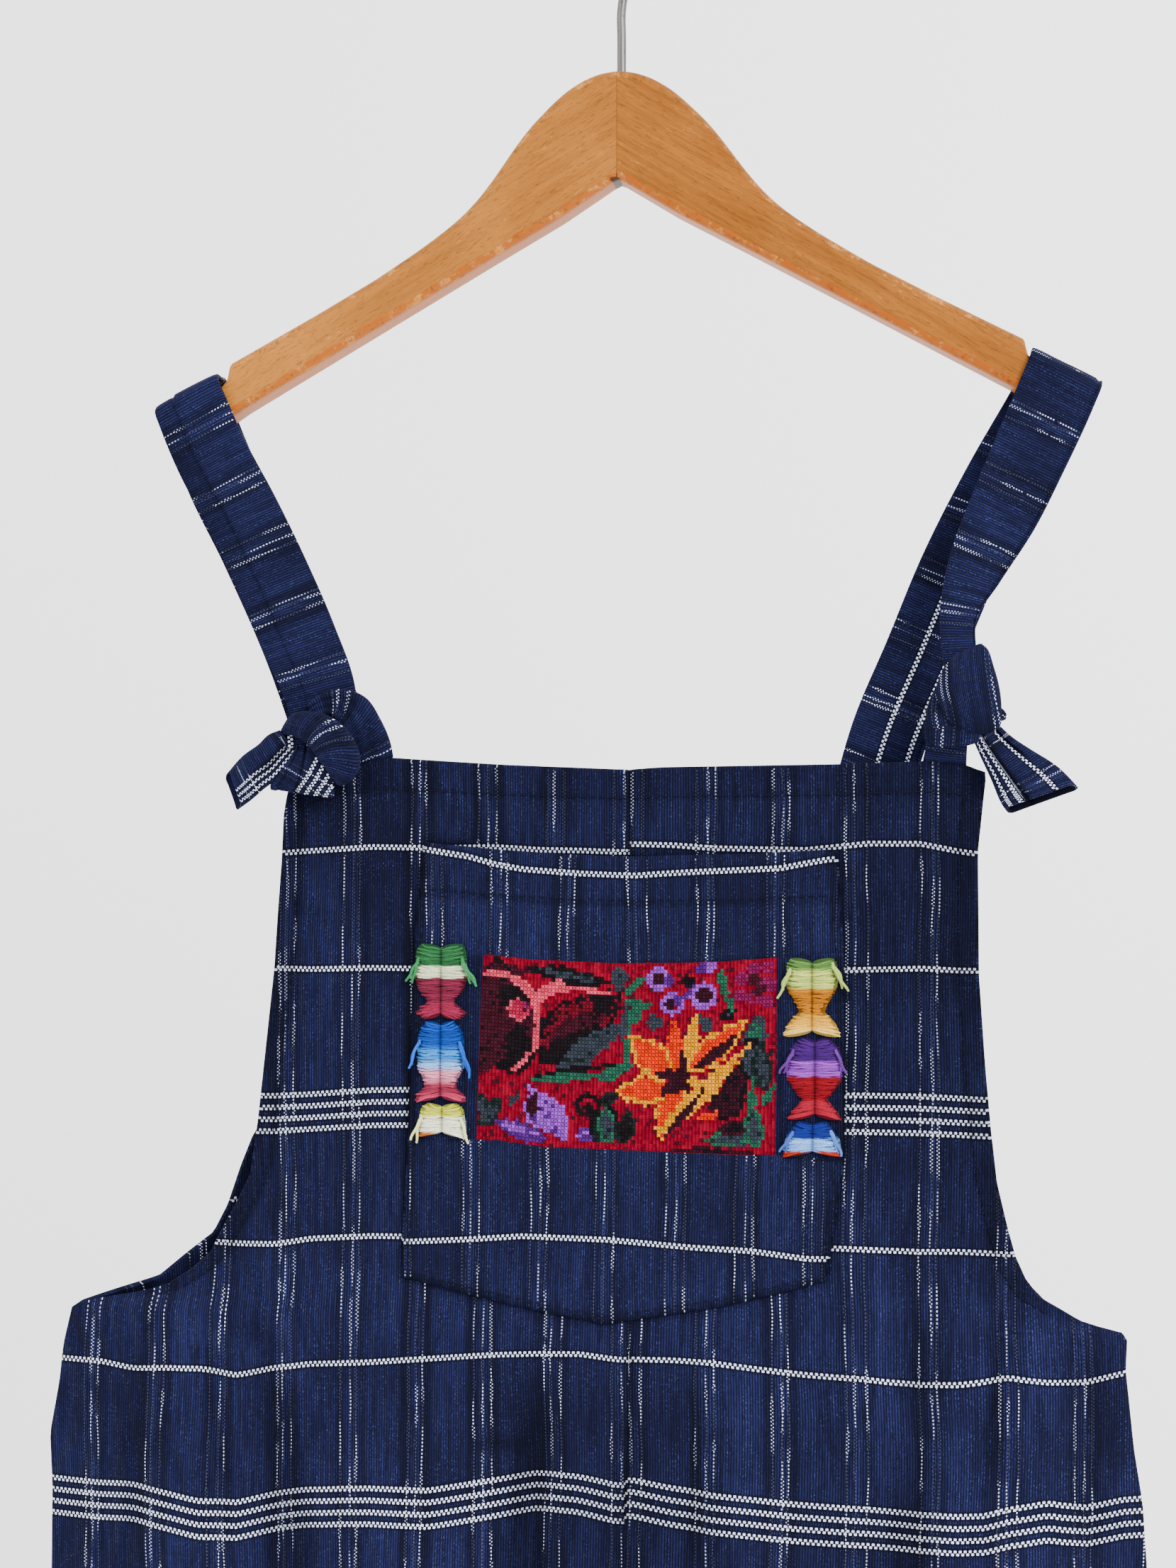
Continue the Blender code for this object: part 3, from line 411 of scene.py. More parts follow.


# How much red, green and blue each dye gives back; the deepest also serves as painted shade
# in the grooves, and the next lighter than plain indigo as painted highlight on the rib tops
INDIGO_DEEP_AND_SHADE = (0.0021, 0.0023, 0.0066)
INDIGO = (0.0042, 0.0044, 0.0170)
INDIGO_WORN_AND_LIT = (0.0125, 0.0150, 0.0620)
INDIGO_PALE = (0.0500, 0.0680, 0.2400)
YARN_WHITE = (0.70, 0.75, 0.98)

RIB_PITCH = 0.8           # between lengthwise ribs
PICK_PITCH = 0.56         # between crosswise threads
IKAT_PITCH = 22.0         # between groups of three resist-dyed threads
IKAT_PITCH_RIGHT = 23.6   # the same on the right half of the front
IKAT_LINE_SPACE = 2.75    # between the threads of a group
IKAT_DASH = 26.0          # a dash and the bare stretch after it
DOT_PITCH = 1.12          # between the dots of a dash
WEFT_REPEAT = 126.6       # single, single, then a band of four white lines
WEFT_FIRST = 24.4         # drop of the first single line
WEFT_SECOND = 38.8        # from the first line to the second
WEFT_BAND = 79.1          # from the first line to the band
WEFT_BAND_SPACE = 3.8     # between the lines of the band
BAND_OVER = 108.0         # past here the next repeat's first line is nearest
CHECKER = 1.50            # a white block and the dark one beside it
WEFT_ROW = 0.47           # from a line's middle to the middle of each of its rows


def indigo_cloth(name, lines=True):
    """Ribbed indigo cotton with dotted white ikat threads and checkered white weft lines.

    Dotted threads: u is cut into groups and each group into three lines; along v every line is
    cut into cells that hold one dash with a chance start and length. Weft lines: v is cut into
    repeats, and each line is two rows of blocks, half a block apart.
    """
    f = Finish(name, roughness=0.9, sheen=0.012, glint=0.05)
    u, v = f.weave()
    wander = (f.noise((u / 45.0, v / 60.0, 3.1), 1.0) - 0.5) * 3.0
    u = u + wander
    rib = (u / RIB_PITCH).ripple()
    pick = (v / PICK_PITCH + (u / RIB_PITCH).floor() * 0.5).ripple()
    number = (u / RIB_PITCH + 0.25).floor()
    thread = f.chance(number, 3.0, 0.0)
    streak = f.noise((number * 1.7, v / 13.0, 0.0), 2.0, 0.6)
    lines_of = f.noise((u / 1.5, v / 38.0, 11.0), 3.0, 0.65)
    cloudy = f.noise((u / 30.0, v / 50.0, 7.7), 3.0)
    heather = f.noise((u / 0.42, v / 1.7, 2.0), 2.0, 0.6)
    speckle = f.noise((u / 0.36, v / 0.75, 8.0), 1.0)
    slub = f.noise((u / 2.5, v / 12.0, 5.0), 2.0)
    broad = cloudy.between(0.22, 0.70) * 0.8 + 0.2
    # The yarn's streaks and heather, stronger on the rib tops: the rib term is a painted highlight.
    wear_and_rib_highlight = (streak.between(0.38, 0.62) * 0.5 + lines_of.between(0.36, 0.64) * 0.45 + thread * 0.2
            + heather.between(0.38, 0.64) * 0.3) * broad * (rib * 0.7 + 0.55)
    colour = f.mix(wear_and_rib_highlight, INDIGO, INDIGO_WORN_AND_LIT)
    flecks = speckle.between(0.52, 0.70) * slub.between(0.38, 0.60) * (thread * 0.7 + 0.3)
    colour = f.mix(flecks * rib * 0.85, colour, INDIGO_PALE)
    # Painted shade in the grooves between ribs and between crosswise threads, with darker heather.
    groove_shade_and_heather = (rib.between(0.7, 0.05) * 0.62 + pick.between(0.5, 0.0) * 0.25
               + heather.between(0.5, 0.28) * 0.2)
    colour = f.mix(groove_shade_and_heather, colour, INDIGO_DEEP_AND_SHADE)
    height = rib * 0.3 + pick * 0.2 + heather * 0.3
    if lines:
        group = (u / IKAT_PITCH).nearest()
        inside = u - group * IKAT_PITCH
        line = (inside / IKAT_LINE_SPACE).nearest()
        kept = line.size().below(1.5)
        seed = group * 3.0 + line
        shift = f.chance(seed, 0.0, 4.0)
        along = v + shift * IKAT_DASH + wander * 3.0
        cell = (along / IKAT_DASH).floor()
        local = along - cell * IKAT_DASH
        start = f.chance(seed, cell, 1.0) * 8.0
        extent = f.chance(seed, cell, 2.0)
        stop = start + extent * 9.0 + 13.0
        dash = (local - start).between(0.0, 2.5).lower((stop - local).between(0.0, 4.0))
        double = (f.noise((seed * 3.7, v / 7.0, 1.0), 0.0) + extent * 0.3).above(0.70)
        beat = (v / DOT_PITCH + shift * 5.0).fract()
        drift = (f.noise((seed * 2.9, v / 14.0, 4.0), 0.0) - 0.5) * 0.9
        off = inside - line * IKAT_LINE_SPACE - (shift - 0.5) * 1.2 - drift
        single = off.spot(0.20, (beat - 0.5) * DOT_PITCH, 0.30, 2.4)
        half_beat = ((beat * 2.0).fract() - 0.5) * (DOT_PITCH / 2)
        pair = (off - (beat - 0.5).sign() * 0.27).spot(0.19, half_beat, 0.20)
        dots = (single * double.less_from(1.0) + pair * double) * kept
        bare = f.chance(seed, cell, 9.0).above(0.2)
        dark = inside.size().between(6.5, 4.0) * inside.size().between(0.6, 3.0)
        colour = f.mix(dark * (f.chance(group, 7.0, 2.0) * 0.4 + 0.3), colour, INDIGO_DEEP_AND_SHADE)
        strong = (dash * bare) * (f.chance(seed, cell, 5.0) * 0.55 + 0.5)
        ikat = dots * strong.higher(0.045)
        phase = ((v - WEFT_FIRST) / WEFT_REPEAT).fract() * WEFT_REPEAT
        band_line = ((phase - WEFT_BAND) / WEFT_BAND_SPACE).nearest().higher(0.0).lower(3.0)
        middle = (phase.above(WEFT_SECOND / 2) * phase.below((WEFT_SECOND + WEFT_BAND) / 2)
                  * WEFT_SECOND
                  + phase.above((WEFT_SECOND + WEFT_BAND) / 2) * phase.below(BAND_OVER)
                  * (band_line * WEFT_BAND_SPACE + WEFT_BAND)
                  + phase.above(BAND_OVER) * WEFT_REPEAT)
        away = phase - middle
        row = away.above(0.0)
        block = ((u / CHECKER + row * 0.5).fract() - 0.5) * CHECKER
        weft = block.spot(0.42, away.size() - WEFT_ROW, 0.40, 4.0)
        near_weft = away.size().between(1.9, 1.1)
        colour = f.mix(near_weft * 0.75, colour, INDIGO_DEEP_AND_SHADE)
        white = ikat.higher(weft)
        glow = f.noise((u / 1.1, v / 1.1, 6.0), 1.0).between(0.2, 0.6) * 0.3 + 0.74
        colour = f.mix(white * glow, colour, YARN_WHITE)
        height = height + white * 0.6
    # The piece's shade attribute multiplies the colour: mostly painted shade and painted light.
    return f.done(f.shaded(colour, f.shade()), height, depth_mm=0.32, strength=0.6)


def stitch_patch(name):
    """Cross-stitch on a red ground: two crossing threads in every worked square.

    tint holds each square's colour, and its fourth number is 1 where the square is worked.
    """
    f = Finish(name, roughness=0.8, glint=0.03)
    u, v = f.weave()
    colour, worked = f.tint()
    fu = (u + (f.noise((u * 0.8, v * 0.8, 2.0), 1.0) - 0.5) * 0.5).fract()
    fv = (v + (f.noise((u * 0.8, v * 0.8, 9.0), 1.0) - 0.5) * 0.5).fract()
    first = (fu - fv).size().between(0.42, 0.05)
    second = (fu + fv - 1.0).size().between(0.42, 0.05)
    pad = (fu - 0.5).spot(0.46, fv - 0.5, 0.46, 3.0)
    cross = first.higher(second * 0.85)
    ribs = u.ripple() * 0.7 + (v * 2.0).ripple() * 0.3
    thread = f.noise((u * 3.4, v * 2.2, 1.0), 2.0)
    tone = f.noise((u * 0.5, v * 0.12, 4.0), 2.0)
    ground = worked.less_from(1.0)
    # Painted shade between the worked squares and off the crossing threads.
    shade = (pad * 0.42 + cross * 0.50 + 0.10) * worked + (ribs * 0.6 + tone) * ground
    # Painted glints on the crossing threads.
    painted_glint = f.noise((u * 2.6, v * 2.6, 6.0), 1.0).between(0.62, 0.72) * cross
    shade = shade * (thread + 0.55) + painted_glint * worked * 0.5
    height = (pad * 0.5 + cross * 0.5) * worked + ribs * tone * 0.3 * ground
    return f.done(f.shaded(colour, shade), height, depth_mm=0.4, strength=0.8)


TWIST_PITCH = 0.42


def spun_thread(name):
    """Thick soft thread: its own tint, with the twist as slanting stripes along each strand,
    painted as shade between the plies.
    """
    f = Finish(name, roughness=0.9, sheen=0.04, glint=0.08)
    x, y, z = f.place()
    colour, _ = f.tint()
    twist = ((x + z * 1.6 + y * 0.6) / TWIST_PITCH).ripple()
    fuzz = f.noise((x / 0.5, y / 0.3, z / 0.22), 3.0, 0.6)
    # The twist's stripes are painted shade between the plies; the fuzz varies the tone.
    shade = twist * 0.25 + fuzz.between(0.3, 0.7) * 0.5 + 0.52
    return f.done(f.shaded(colour, shade), twist * 0.6 + fuzz * 0.4, depth_mm=0.15, strength=0.7)


# How much red, green and blue each tone of the wood gives back, raw also as painted light below
BEECH = (0.300, 0.103, 0.0120)
BEECH_DARK = (0.160, 0.047, 0.0056)
BEECH_PALE = (0.50, 0.200, 0.035)
BEECH_FLECK = (0.100, 0.030, 0.0060)
BEECH_RAW_AND_UNDERLIGHT = (0.58, 0.238, 0.052)
BEECH_STRIPE = (0.34, 0.066, 0.0010)
BEECH_CHIP = (0.060, 0.024, 0.0090)
HANGER_MIDDLE_X = -0.9
GRAIN_SLOPE = math.radians(31.0)
TINT_HEIGHT = 40.0
CHIP_ASIDE, CHIP_Z = 0.6, -105.2    # the chip just left of the middle, at the lower edge
GLUE_LINE_Z = -100.0                # the line of glue darkens from here down


def beech(name):
    """Varnished beech, rubbed pale along its edges, with painted light where it faces down.

    tint holds the height above the lower edge over TINT_HEIGHT, how near the surface is to a
    rounded edge, and how far it faces down. Each arm's grain runs along it, so the coordinates
    are turned by the arm's slope on either side of the glued middle.
    """
    f = Finish(name, roughness=0.44, coat=0.015, glint=0.08)
    x, y, z = f.place()
    packed, _ = f.tint()
    above, edge, down = f.split(packed, 1.0)
    right = x.above(HANGER_MIDDLE_X)
    way = right * 2.0 - 1.0
    cos, sin = math.cos(GRAIN_SLOPE), math.sin(GRAIN_SLOPE)
    along = x * cos - z * way * sin
    cross = z * cos + x * way * sin
    figure = f.noise((along / 70.0, cross / 3.2, y / 6.0 + right * 9.0), 4.0, 0.6)
    fine = f.noise((along / 9.0, cross / 0.45, y / 0.8 + right * 5.0), 2.0)
    fleck = f.noise((along / 2.4, cross / 0.32, y / 0.5), 1.0)
    cloudy = f.noise((x / 30.0, y / 30.0, z / 30.0), 2.0)
    wear = f.noise((x / 7.0, y / 7.0, z / 7.0), 4.0, 0.65)
    nick = f.noise((x / 1.6, y / 1.6, z / 1.6), 3.0, 0.7)
    ends = x.size().between(40.0, 135.0)
    bands = f.noise((along / 40.0, cross / 1.5, right * 4.0 + 2.0), 3.0, 0.6)
    darker = (figure.between(0.32, 0.68) * 0.4 + bands.between(0.4, 0.66) * 0.35
              + fine.between(0.4, 0.7) * 0.3)
    colour = f.mix(darker, BEECH, BEECH_DARK)
    left = right.less_from(1.0)
    lighter = left * 0.16 + cloudy.between(0.4, 0.7) * 0.16 + ends * left * 0.3
    colour = f.mix(lighter, colour, BEECH_PALE)
    colour = f.mix(fleck.between(0.60, 0.68) * 0.5, colour, BEECH_FLECK)
    rubbed = f.noise((along / 3.2, cross / 1.1, y / 3.0), 2.0, 0.6).between(0.66, 0.72)
    colour = f.mix(rubbed * cloudy.between(0.4, 0.6) * 0.45, colour, BEECH_RAW_AND_UNDERLIGHT)
    stripe = (above + (wear - 0.5) * 0.12).between(0.075, 0.045)
    colour = f.mix(stripe * 0.75, colour, BEECH_STRIPE)
    bare = (edge + (wear - 0.5) * 1.5 + (nick - 0.5) * 0.9).between(1.02, 1.22)
    # Painted light on the faces turned down, patchy with the wear noise.
    under = down * (wear * 0.5 + 0.6)
    colour = f.mix(under * 0.22, colour, BEECH_RAW_AND_UNDERLIGHT)
    colour = f.mix(bare * 0.65, colour, BEECH_RAW_AND_UNDERLIGHT)
    colour = f.mix(edge.between(0.4, 1.0) * nick.between(0.56, 0.64) * 0.55, colour, BEECH_CHIP)
    chip = (x - HANGER_MIDDLE_X + CHIP_ASIDE).spot(1.7, z - CHIP_Z, 0.8)
    colour = f.mix(chip, colour, BEECH_CHIP)
    seam = (x - HANGER_MIDDLE_X).size().between(0.4, 0.08)
    seam = seam * (z - GLUE_LINE_Z).between(0.0, -5.0).higher(0.35)
    colour = f.mix(seam * 0.9, colour, BEECH_CHIP)
    height = fine * 0.35 + fleck * 0.2 + bare.less_from(1.0) * 0.25 + seam.less_from(1.0) * 0.2
    return f.done(colour, height, depth_mm=0.12, strength=0.5,
                  roughness=bare * 0.25 + fine * 0.1 + 0.36)


def dull_wire(name):
    """Drawn steel wire with faint lengthwise lines and a few dark spots."""
    f = Finish(name, roughness=0.38, metallic=1.0)
    x, y, z = f.place()
    lines = f.noise((x / 0.25, y / 0.25, z / 12.0), 2.0)
    spots = f.noise((x / 1.4, y / 1.4, z / 1.4), 2.0)
    colour = f.mix(lines.between(0.3, 0.7) * 0.5, (0.150, 0.146, 0.138), (0.070, 0.068, 0.064))
    colour = f.mix(spots.between(0.62, 0.72) * 0.5, colour, (0.06, 0.05, 0.045))
    return f.done(colour, lines, depth_mm=0.05, strength=0.4)


def plain_floor(name):
    """Pale smooth floor with the faintest unevenness."""
    f = Finish(name, roughness=0.9)
    x, y, _ = f.place()
    cloudy = f.noise((x / 400.0, y / 400.0, 0.0), 2.0)
    return f.done(f.mix(cloudy, (0.70, 0.69, 0.68), (0.78, 0.775, 0.77)))


cloth = indigo_cloth("indigo ikat cloth")
plain_cloth = indigo_cloth("plain indigo cloth", lines=False)
thread_finish = spun_thread("embroidery thread")


# ---------------------------------------------------------------- the body's cloth

# Outer edges, as drop and x: the side seams, which front and back share, and above them the
# bib's side and the armhole's curve
SIDE_SEAM_LEFT = (
    (176.0, -182.3), (189.0, -185.4), (201.5, -186.8), (219.0, -190.0), (236.0, -189.2),
    (264.0, -189.5), (330.0, -192.0), (430.0, -193.0), (560.0, -189.0), (810.0, -184.0),
)
SIDE_SEAM_RIGHT = (
    (179.0, 160.8), (190.0, 160.3), (196.5, 161.0), (215.0, 162.9), (232.0, 165.6),
    (252.5, 166.9), (330.0, 172.0), (430.0, 177.0), (560.0, 175.0), (810.0, 172.0),
)
FRONT_LEFT_EDGE = (
    (0.0, -107.5), (8.0, -108.6), (26.0, -109.3), (63.0, -111.7), (114.0, -117.6),
    (131.0, -120.4), (141.0, -125.6), (150.5, -131.0), (157.5, -134.6), (163.0, -140.8),
    (169.0, -150.0), (172.2, -160.0), (174.0, -171.5),
) + SIDE_SEAM_LEFT
FRONT_RIGHT_EDGE = (
    (0.0, 115.9), (2.0, 115.7), (25.0, 113.3), (64.0, 113.6), (92.0, 115.5),
    (112.5, 117.3), (130.0, 119.3), (145.0, 122.8), (154.0, 125.3), (161.0, 128.4),
    (167.0, 132.8), (174.0, 145.0), (177.0, 151.5),
) + SIDE_SEAM_RIGHT
BACK_LEFT_EDGE = (
    (25.0, -96.0), (60.0, -99.0), (100.0, -109.0), (120.0, -123.0), (130.0, -126.8),
    (143.0, -130.9), (152.0, -135.4), (159.0, -144.4), (167.0, -154.0), (172.5, -171.3),
) + SIDE_SEAM_LEFT
BACK_RIGHT_EDGE = (
    (25.0, 98.0), (60.0, 100.0), (100.0, 105.0), (125.0, 112.0), (145.0, 119.0),
    (160.0, 126.0), (170.0, 136.0), (176.0, 148.0),
) + SIDE_SEAM_RIGHT
CENTRE_SEAM = (
    # drop, x
    (0.0, 3.6), (175.0, 4.5), (225.0, 3.3), (254.0, 2.4), (430.0, 0.0), (810.0, 0.0),
)
# The bib's top edge, pulled by the two knots: x and how far it stands above the drop of 0
BIB_TOP_EDGE = (
    # x, rise
    (-108.6, -7.0), (-100.0, -2.0), (-88.0, 1.8), (-75.0, 4.0), (-60.0, 3.0), (-37.0, 1.6),
    (3.0, 0.0), (14.0, 0.8), (70.0, 1.7), (100.0, 2.8), (110.0, 1.8), (116.0, -1.0),
)
# How far the cloth stands out from the middle plane: at the centre, and at the outer edge
DEPTHS = (
    # drop, front centre, front edge, back centre, back edge
    (0.0, 9.0, 8.6, 8.2, 8.0), (60.0, 10.5, 8.6, 9.5, 8.0), (120.0, 13.5, 7.0, 12.5, 7.0),
    (175.0, 17.0, 0.0, 16.0, 0.0), (230.0, 19.5, 0.0, 19.0, 0.0), (300.0, 21.5, 0.0, 21.5, 0.0),
    (380.0, 21.5, 0.0, 22.0, 0.0), (470.0, 19.0, 0.0, 20.0, 0.0), (810.0, 15.0, 0.0, 15.0, 0.0),
)
# Soft folds down the cloth, and after them smaller creases; the height is out of the cloth, or
# into it where it is negative
FOLDS = (
    # face, x at top, x at bottom, drop top, drop bottom, half width, height
    (-1, -146.0, -118.0, 165.0, 520.0, 15.0, 4.5),
    (-1, -112.0, -92.0, 150.0, 480.0, 13.0, -4.0),
    (-1, -60.0, -58.0, 185.0, 470.0, 16.0, 3.0),
    (-1, -24.0, -33.0, 190.0, 330.0, 9.0, -3.2),
    (-1, 50.0, 44.0, 180.0, 440.0, 18.0, 3.0),
    (-1, 96.0, 84.0, 140.0, 500.0, 14.0, -3.5),
    (-1, 134.0, 122.0, 172.0, 540.0, 14.0, 4.5),
    (-1, -98.0, -96.0, 430.0, 860.0, 26.0, 4.0),
    (-1, -45.0, -52.0, 450.0, 840.0, 16.0, -3.5),
    (-1, 96.0, 88.0, 440.0, 860.0, 24.0, 4.0),
    (-1, 52.0, 46.0, 470.0, 850.0, 14.0, -3.5),
    (1, -130.0, -110.0, 170.0, 540.0, 18.0, 4.0),
    (1, -86.0, -78.0, 160.0, 500.0, 15.0, -4.0),
    (1, 20.0, 8.0, 120.0, 380.0, 16.0, 3.0),
    (1, 84.0, 76.0, 150.0, 520.0, 16.0, -4.0),
    (1, 124.0, 112.0, 175.0, 560.0, 15.0, 4.0),
    (1, -100.0, -92.0, 450.0, 860.0, 24.0, 4.0),
    (1, 92.0, 96.0, 450.0, 860.0, 24.0, 4.0),
    (-1, -134.0, -128.0, 176.0, 262.0, 5.5, -1.5),
    (-1, -152.0, -149.0, 182.0, 300.0, 6.0, 1.1),
    (-1, -118.0, -100.0, 138.0, 216.0, 4.5, 1.0),
    (-1, -90.0, -84.0, 196.0, 330.0, 5.0, -0.9),
    (-1, -16.0, -12.0, 176.0, 236.0, 4.0, 1.1),
    (-1, 22.0, 26.0, 178.0, 262.0, 5.0, -1.2),
    (-1, 78.0, 92.0, 128.0, 240.0, 5.0, 0.9),
    (-1, 124.0, 118.0, 150.0, 232.0, 4.5, -1.4),
    (-1, 142.0, 139.0, 184.0, 280.0, 4.0, 1.6),
    (-1, 106.0, 102.0, 200.0, 345.0, 6.0, 1.0),
    (-1, -91.0, -95.0, 12.0, 96.0, 6.0, 0.7),
    (-1, 92.0, 96.0, 8.0, 100.0, 7.0, 0.7),
    (-1, -72.0, -92.0, 380.0, 470.0, 7.0, 1.5),
    (-1, -20.0, -64.0, 424.0, 520.0, 6.0, -1.6),
    (-1, 20.0, 66.0, 420.0, 540.0, 6.5, -1.7),
    (-1, 74.0, 96.0, 390.0, 480.0, 6.0, 1.3),
    (-1, -120.0, -128.0, 520.0, 720.0, 9.0, 1.2),
    (-1, 124.0, 118.0, 560.0, 760.0, 8.0, 1.1),
    (1, -120.0, -126.0, 178.0, 300.0, 6.0, -1.3),
    (1, -40.0, -52.0, 140.0, 260.0, 6.0, 1.0),
    (1, 54.0, 60.0, 150.0, 290.0, 6.0, -1.2),
    (1, 134.0, 130.0, 186.0, 310.0, 5.0, 1.4),
    (1, -22.0, -60.0, 410.0, 520.0, 6.0, -1.7),
    (1, 24.0, 58.0, 415.0, 505.0, 6.0, -1.6),
    (1, 70.0, 92.0, 380.0, 470.0, 7.0, 1.4),
    (1, -126.0, -120.0, 540.0, 740.0, 9.0, 1.2),
    (1, 118.0, 126.0, 520.0, 700.0, 8.0, 1.1),
)
# Short creases that run across the cloth
CROSS_CREASES = (
    # face, drop at left, drop at right, x left, x right, half width, height
    (-1, 213.0, 216.0, -48.0, -27.0, 2.2, -1.1),
    (-1, 219.0, 221.0, -44.0, -30.0, 1.8, 0.6),
    (-1, 16.0, 30.0, -105.0, -72.0, 5.0, 0.8),
    (-1, 26.0, 12.0, 74.0, 112.0, 5.5, 0.8),
    (-1, 178.0, 196.0, -150.0, -96.0, 4.0, 0.9),
    (-1, 198.0, 184.0, 92.0, 150.0, 4.5, 1.0),
    (-1, 402.0, 428.0, -92.0, -8.0, 5.0, 1.6),
    (-1, 426.0, 398.0, 8.0, 88.0, 5.5, 1.7),
    (-1, 590.0, 604.0, -150.0, -100.0, 6.0, 0.9),
    (-1, 612.0, 600.0, 60.0, 130.0, 6.0, 0.9),
    (1, 396.0, 426.0, -100.0, -10.0, 5.5, 1.8),
    (1, 424.0, 392.0, 10.0, 96.0, 5.0, 1.7),
    (1, 40.0, 52.0, -90.0, -40.0, 6.0, 0.9),
    (1, 54.0, 38.0, 40.0, 92.0, 6.0, 0.9),
    (1, 606.0, 596.0, -140.0, -70.0, 6.0, 0.9),
)
# The first white weft lines, by drop, and how much lower they hang than straight ones
WEFT_LINES = tuple(WEFT_FIRST + repeat * WEFT_REPEAT + line
                   for repeat in (0, 1) for line in (0.0, WEFT_SECOND, WEFT_BAND))
WEFT_SAG_LEFT = (
    # x, sag of the six lines
    (-172, 1.8, 0.3, 1.8, 2.9, 4.0, 3.4), (-160, 1.8, 0.3, 1.8, 2.9, 5.6, 2.7),
    (-148, 1.8, 0.3, 1.8, 2.9, 4.4, 4.0), (-136, 1.8, 0.3, 1.8, 2.9, 4.1, 6.2),
    (-124, 1.8, 0.3, 1.8, 2.9, 5.7, 6.3), (-112, 1.8, 0.3, 1.6, 2.4, 2.9, 3.4),
    (-100, 0.9, 0.5, 0.8, 0.1, 1.1, 1.2), (-80, -0.4, -0.1, -0.9, -1.5, -0.3, -0.6),
    (-60, -0.1, 0.1, -1.5, -1.9, -2.1, -0.9), (-40, -0.5, 0.1, -1.5, -1.9, -3.9, -4.5),
    (-25, 0.4, 0.1, -1.5, -1.9, -4.7, -7.1), (-12, 0.6, 0.1, -1.5, -1.9, -5.0, -6.9),
    (0, 1.0, 0.1, -1.5, -1.9, -3.4, -4.3),
)
WEFT_SAG_RIGHT = (
    # x, sag of the six lines
    (6, -1.5, -0.1, -1.2, -0.8, -3.6, -6.0), (18, -1.2, -0.1, -1.2, -0.8, -3.6, -3.7),
    (30, -0.3, -0.1, -1.2, -0.8, -3.0, -1.9), (45, 0.0, -0.1, -1.2, -0.8, -1.3, -1.0),
    (60, 0.2, -0.1, -1.2, -0.8, 0.2, 0.3), (80, -1.9, -0.7, -1.2, -0.1, 1.6, 1.9),
    (96, -1.9, -1.2, -1.0, 0.7, 3.4, 3.8), (108, 0.5, -0.6, -0.4, 0.8, 3.2, 4.0),
    (116, 1.6, -0.6, 0.0, 1.4, 2.2, 3.7), (124, 1.6, -0.6, 0.0, 2.0, 1.0, 1.5),
    (136, 1.6, -0.6, 0.0, 2.0, 2.8, -0.3), (148, 1.6, -0.6, 0.0, 2.0, 3.2, 2.0),
    (160, 1.6, -0.6, 0.0, 2.0, 0.8, 0.2),
)
# Places on the front painted darker: partly painted soft shadow in the drape, partly deeper dye
SHADOW_AND_DYE_PLACES = (
    # x, drop, reach across, reach down, how much darker
    (94.0, 50.0, 20.0, 70.0, 0.26), (2.0, 244.0, 46.0, 34.0, 0.26),
    (-92.0, 20.0, 16.0, 30.0, 0.14), (-150.0, 215.0, 9.0, 60.0, 0.16),
    (150.0, 205.0, 6.0, 50.0, 0.22), (-60.0, 205.0, 12.0, 40.0, 0.12),
    (66.0, 215.0, 10.0, 50.0, 0.16), (112.0, 150.0, 8.0, 40.0, 0.18),
)
# Lines of the pocket: its sides as drop and x, and its top and bottom as x and drop
POCKET_LEFT = ((24.6, -62.3), (54.7, -65.6), (117.4, -67.2), (149.4, -68.8), (163.0, -69.1))
POCKET_RIGHT = ((25.8, 69.4), (56.5, 71.5), (122.8, 71.8), (153.6, 67.2), (163.0, 65.6))
POCKET_TOP = (
    (-62.5, 24.6), (-37.6, 26.2), (-16.0, 27.2), (8.0, 27.6), (40.0, 27.1), (69.4, 25.8),
)
POCKET_BOTTOM = (
    (-69.0, 161.4), (-55.8, 164.5), (-27.2, 170.5), (-3.9, 174.6), (5.4, 173.2), (36.5, 167.8),
    (66.0, 160.2),
)
# Every body panel: its side and face, and what it hangs from
PANELS = {
    "front_left": (-1, -1, "tab_left"), "front_right": (1, -1, "tab_right"),
    "back_left": (-1, 1, "strap_left_back"), "back_right": (1, 1, "strap_right_back"),
}

seam_x = column(CENTRE_SEAM)
top_rise = eased(BIB_TOP_EDGE, 3.0)
pocket_left, pocket_right = column(POCKET_LEFT), column(POCKET_RIGHT)
pocket_top, pocket_bottom = column(POCKET_TOP), column(POCKET_BOTTOM)
EDGES = {
    (-1, -1): column(FRONT_LEFT_EDGE),
    (1, -1): column(FRONT_RIGHT_EDGE),
    (-1, 1): column(BACK_LEFT_EDGE),
    (1, 1): column(BACK_RIGHT_EDGE),
}
SAG = {side: [column(table, k + 1) for k in range(len(WEFT_LINES))]
       for side, table in ((-1, WEFT_SAG_LEFT), (1, WEFT_SAG_RIGHT))}
CENTRE_DEPTH = {-1: column(DEPTHS, 1), 1: column(DEPTHS, 3)}
EDGE_DEPTH = {-1: column(DEPTHS, 2), 1: column(DEPTHS, 4)}


def inner_x(side, drop):
    """The centre seam, and below the crotch the inseam, which leans away from the other leg."""
    below = np.clip((drop - CROTCH_DROP) / (HEM_DROP - CROTCH_DROP), 0.0, 1.0)
    return seam_x(drop) + side * (0.12 + LEG_SPREAD * below)


def ridges(table, face, across, along):
    """The sum of soft ridges: a bell across each one times half a sine along it."""
    height = np.zeros(np.broadcast(across, along).shape)
    for on_face, first, last, start, end, width, size in table:
        if on_face != face:
            continue
        t = np.clip((along - start) / (end - start), 0.0, 1.0)
        middle = first + (last - first) * t
        height = height + size * np.exp(-((across - middle) / width) ** 2) * np.sin(math.pi * t)
    return height


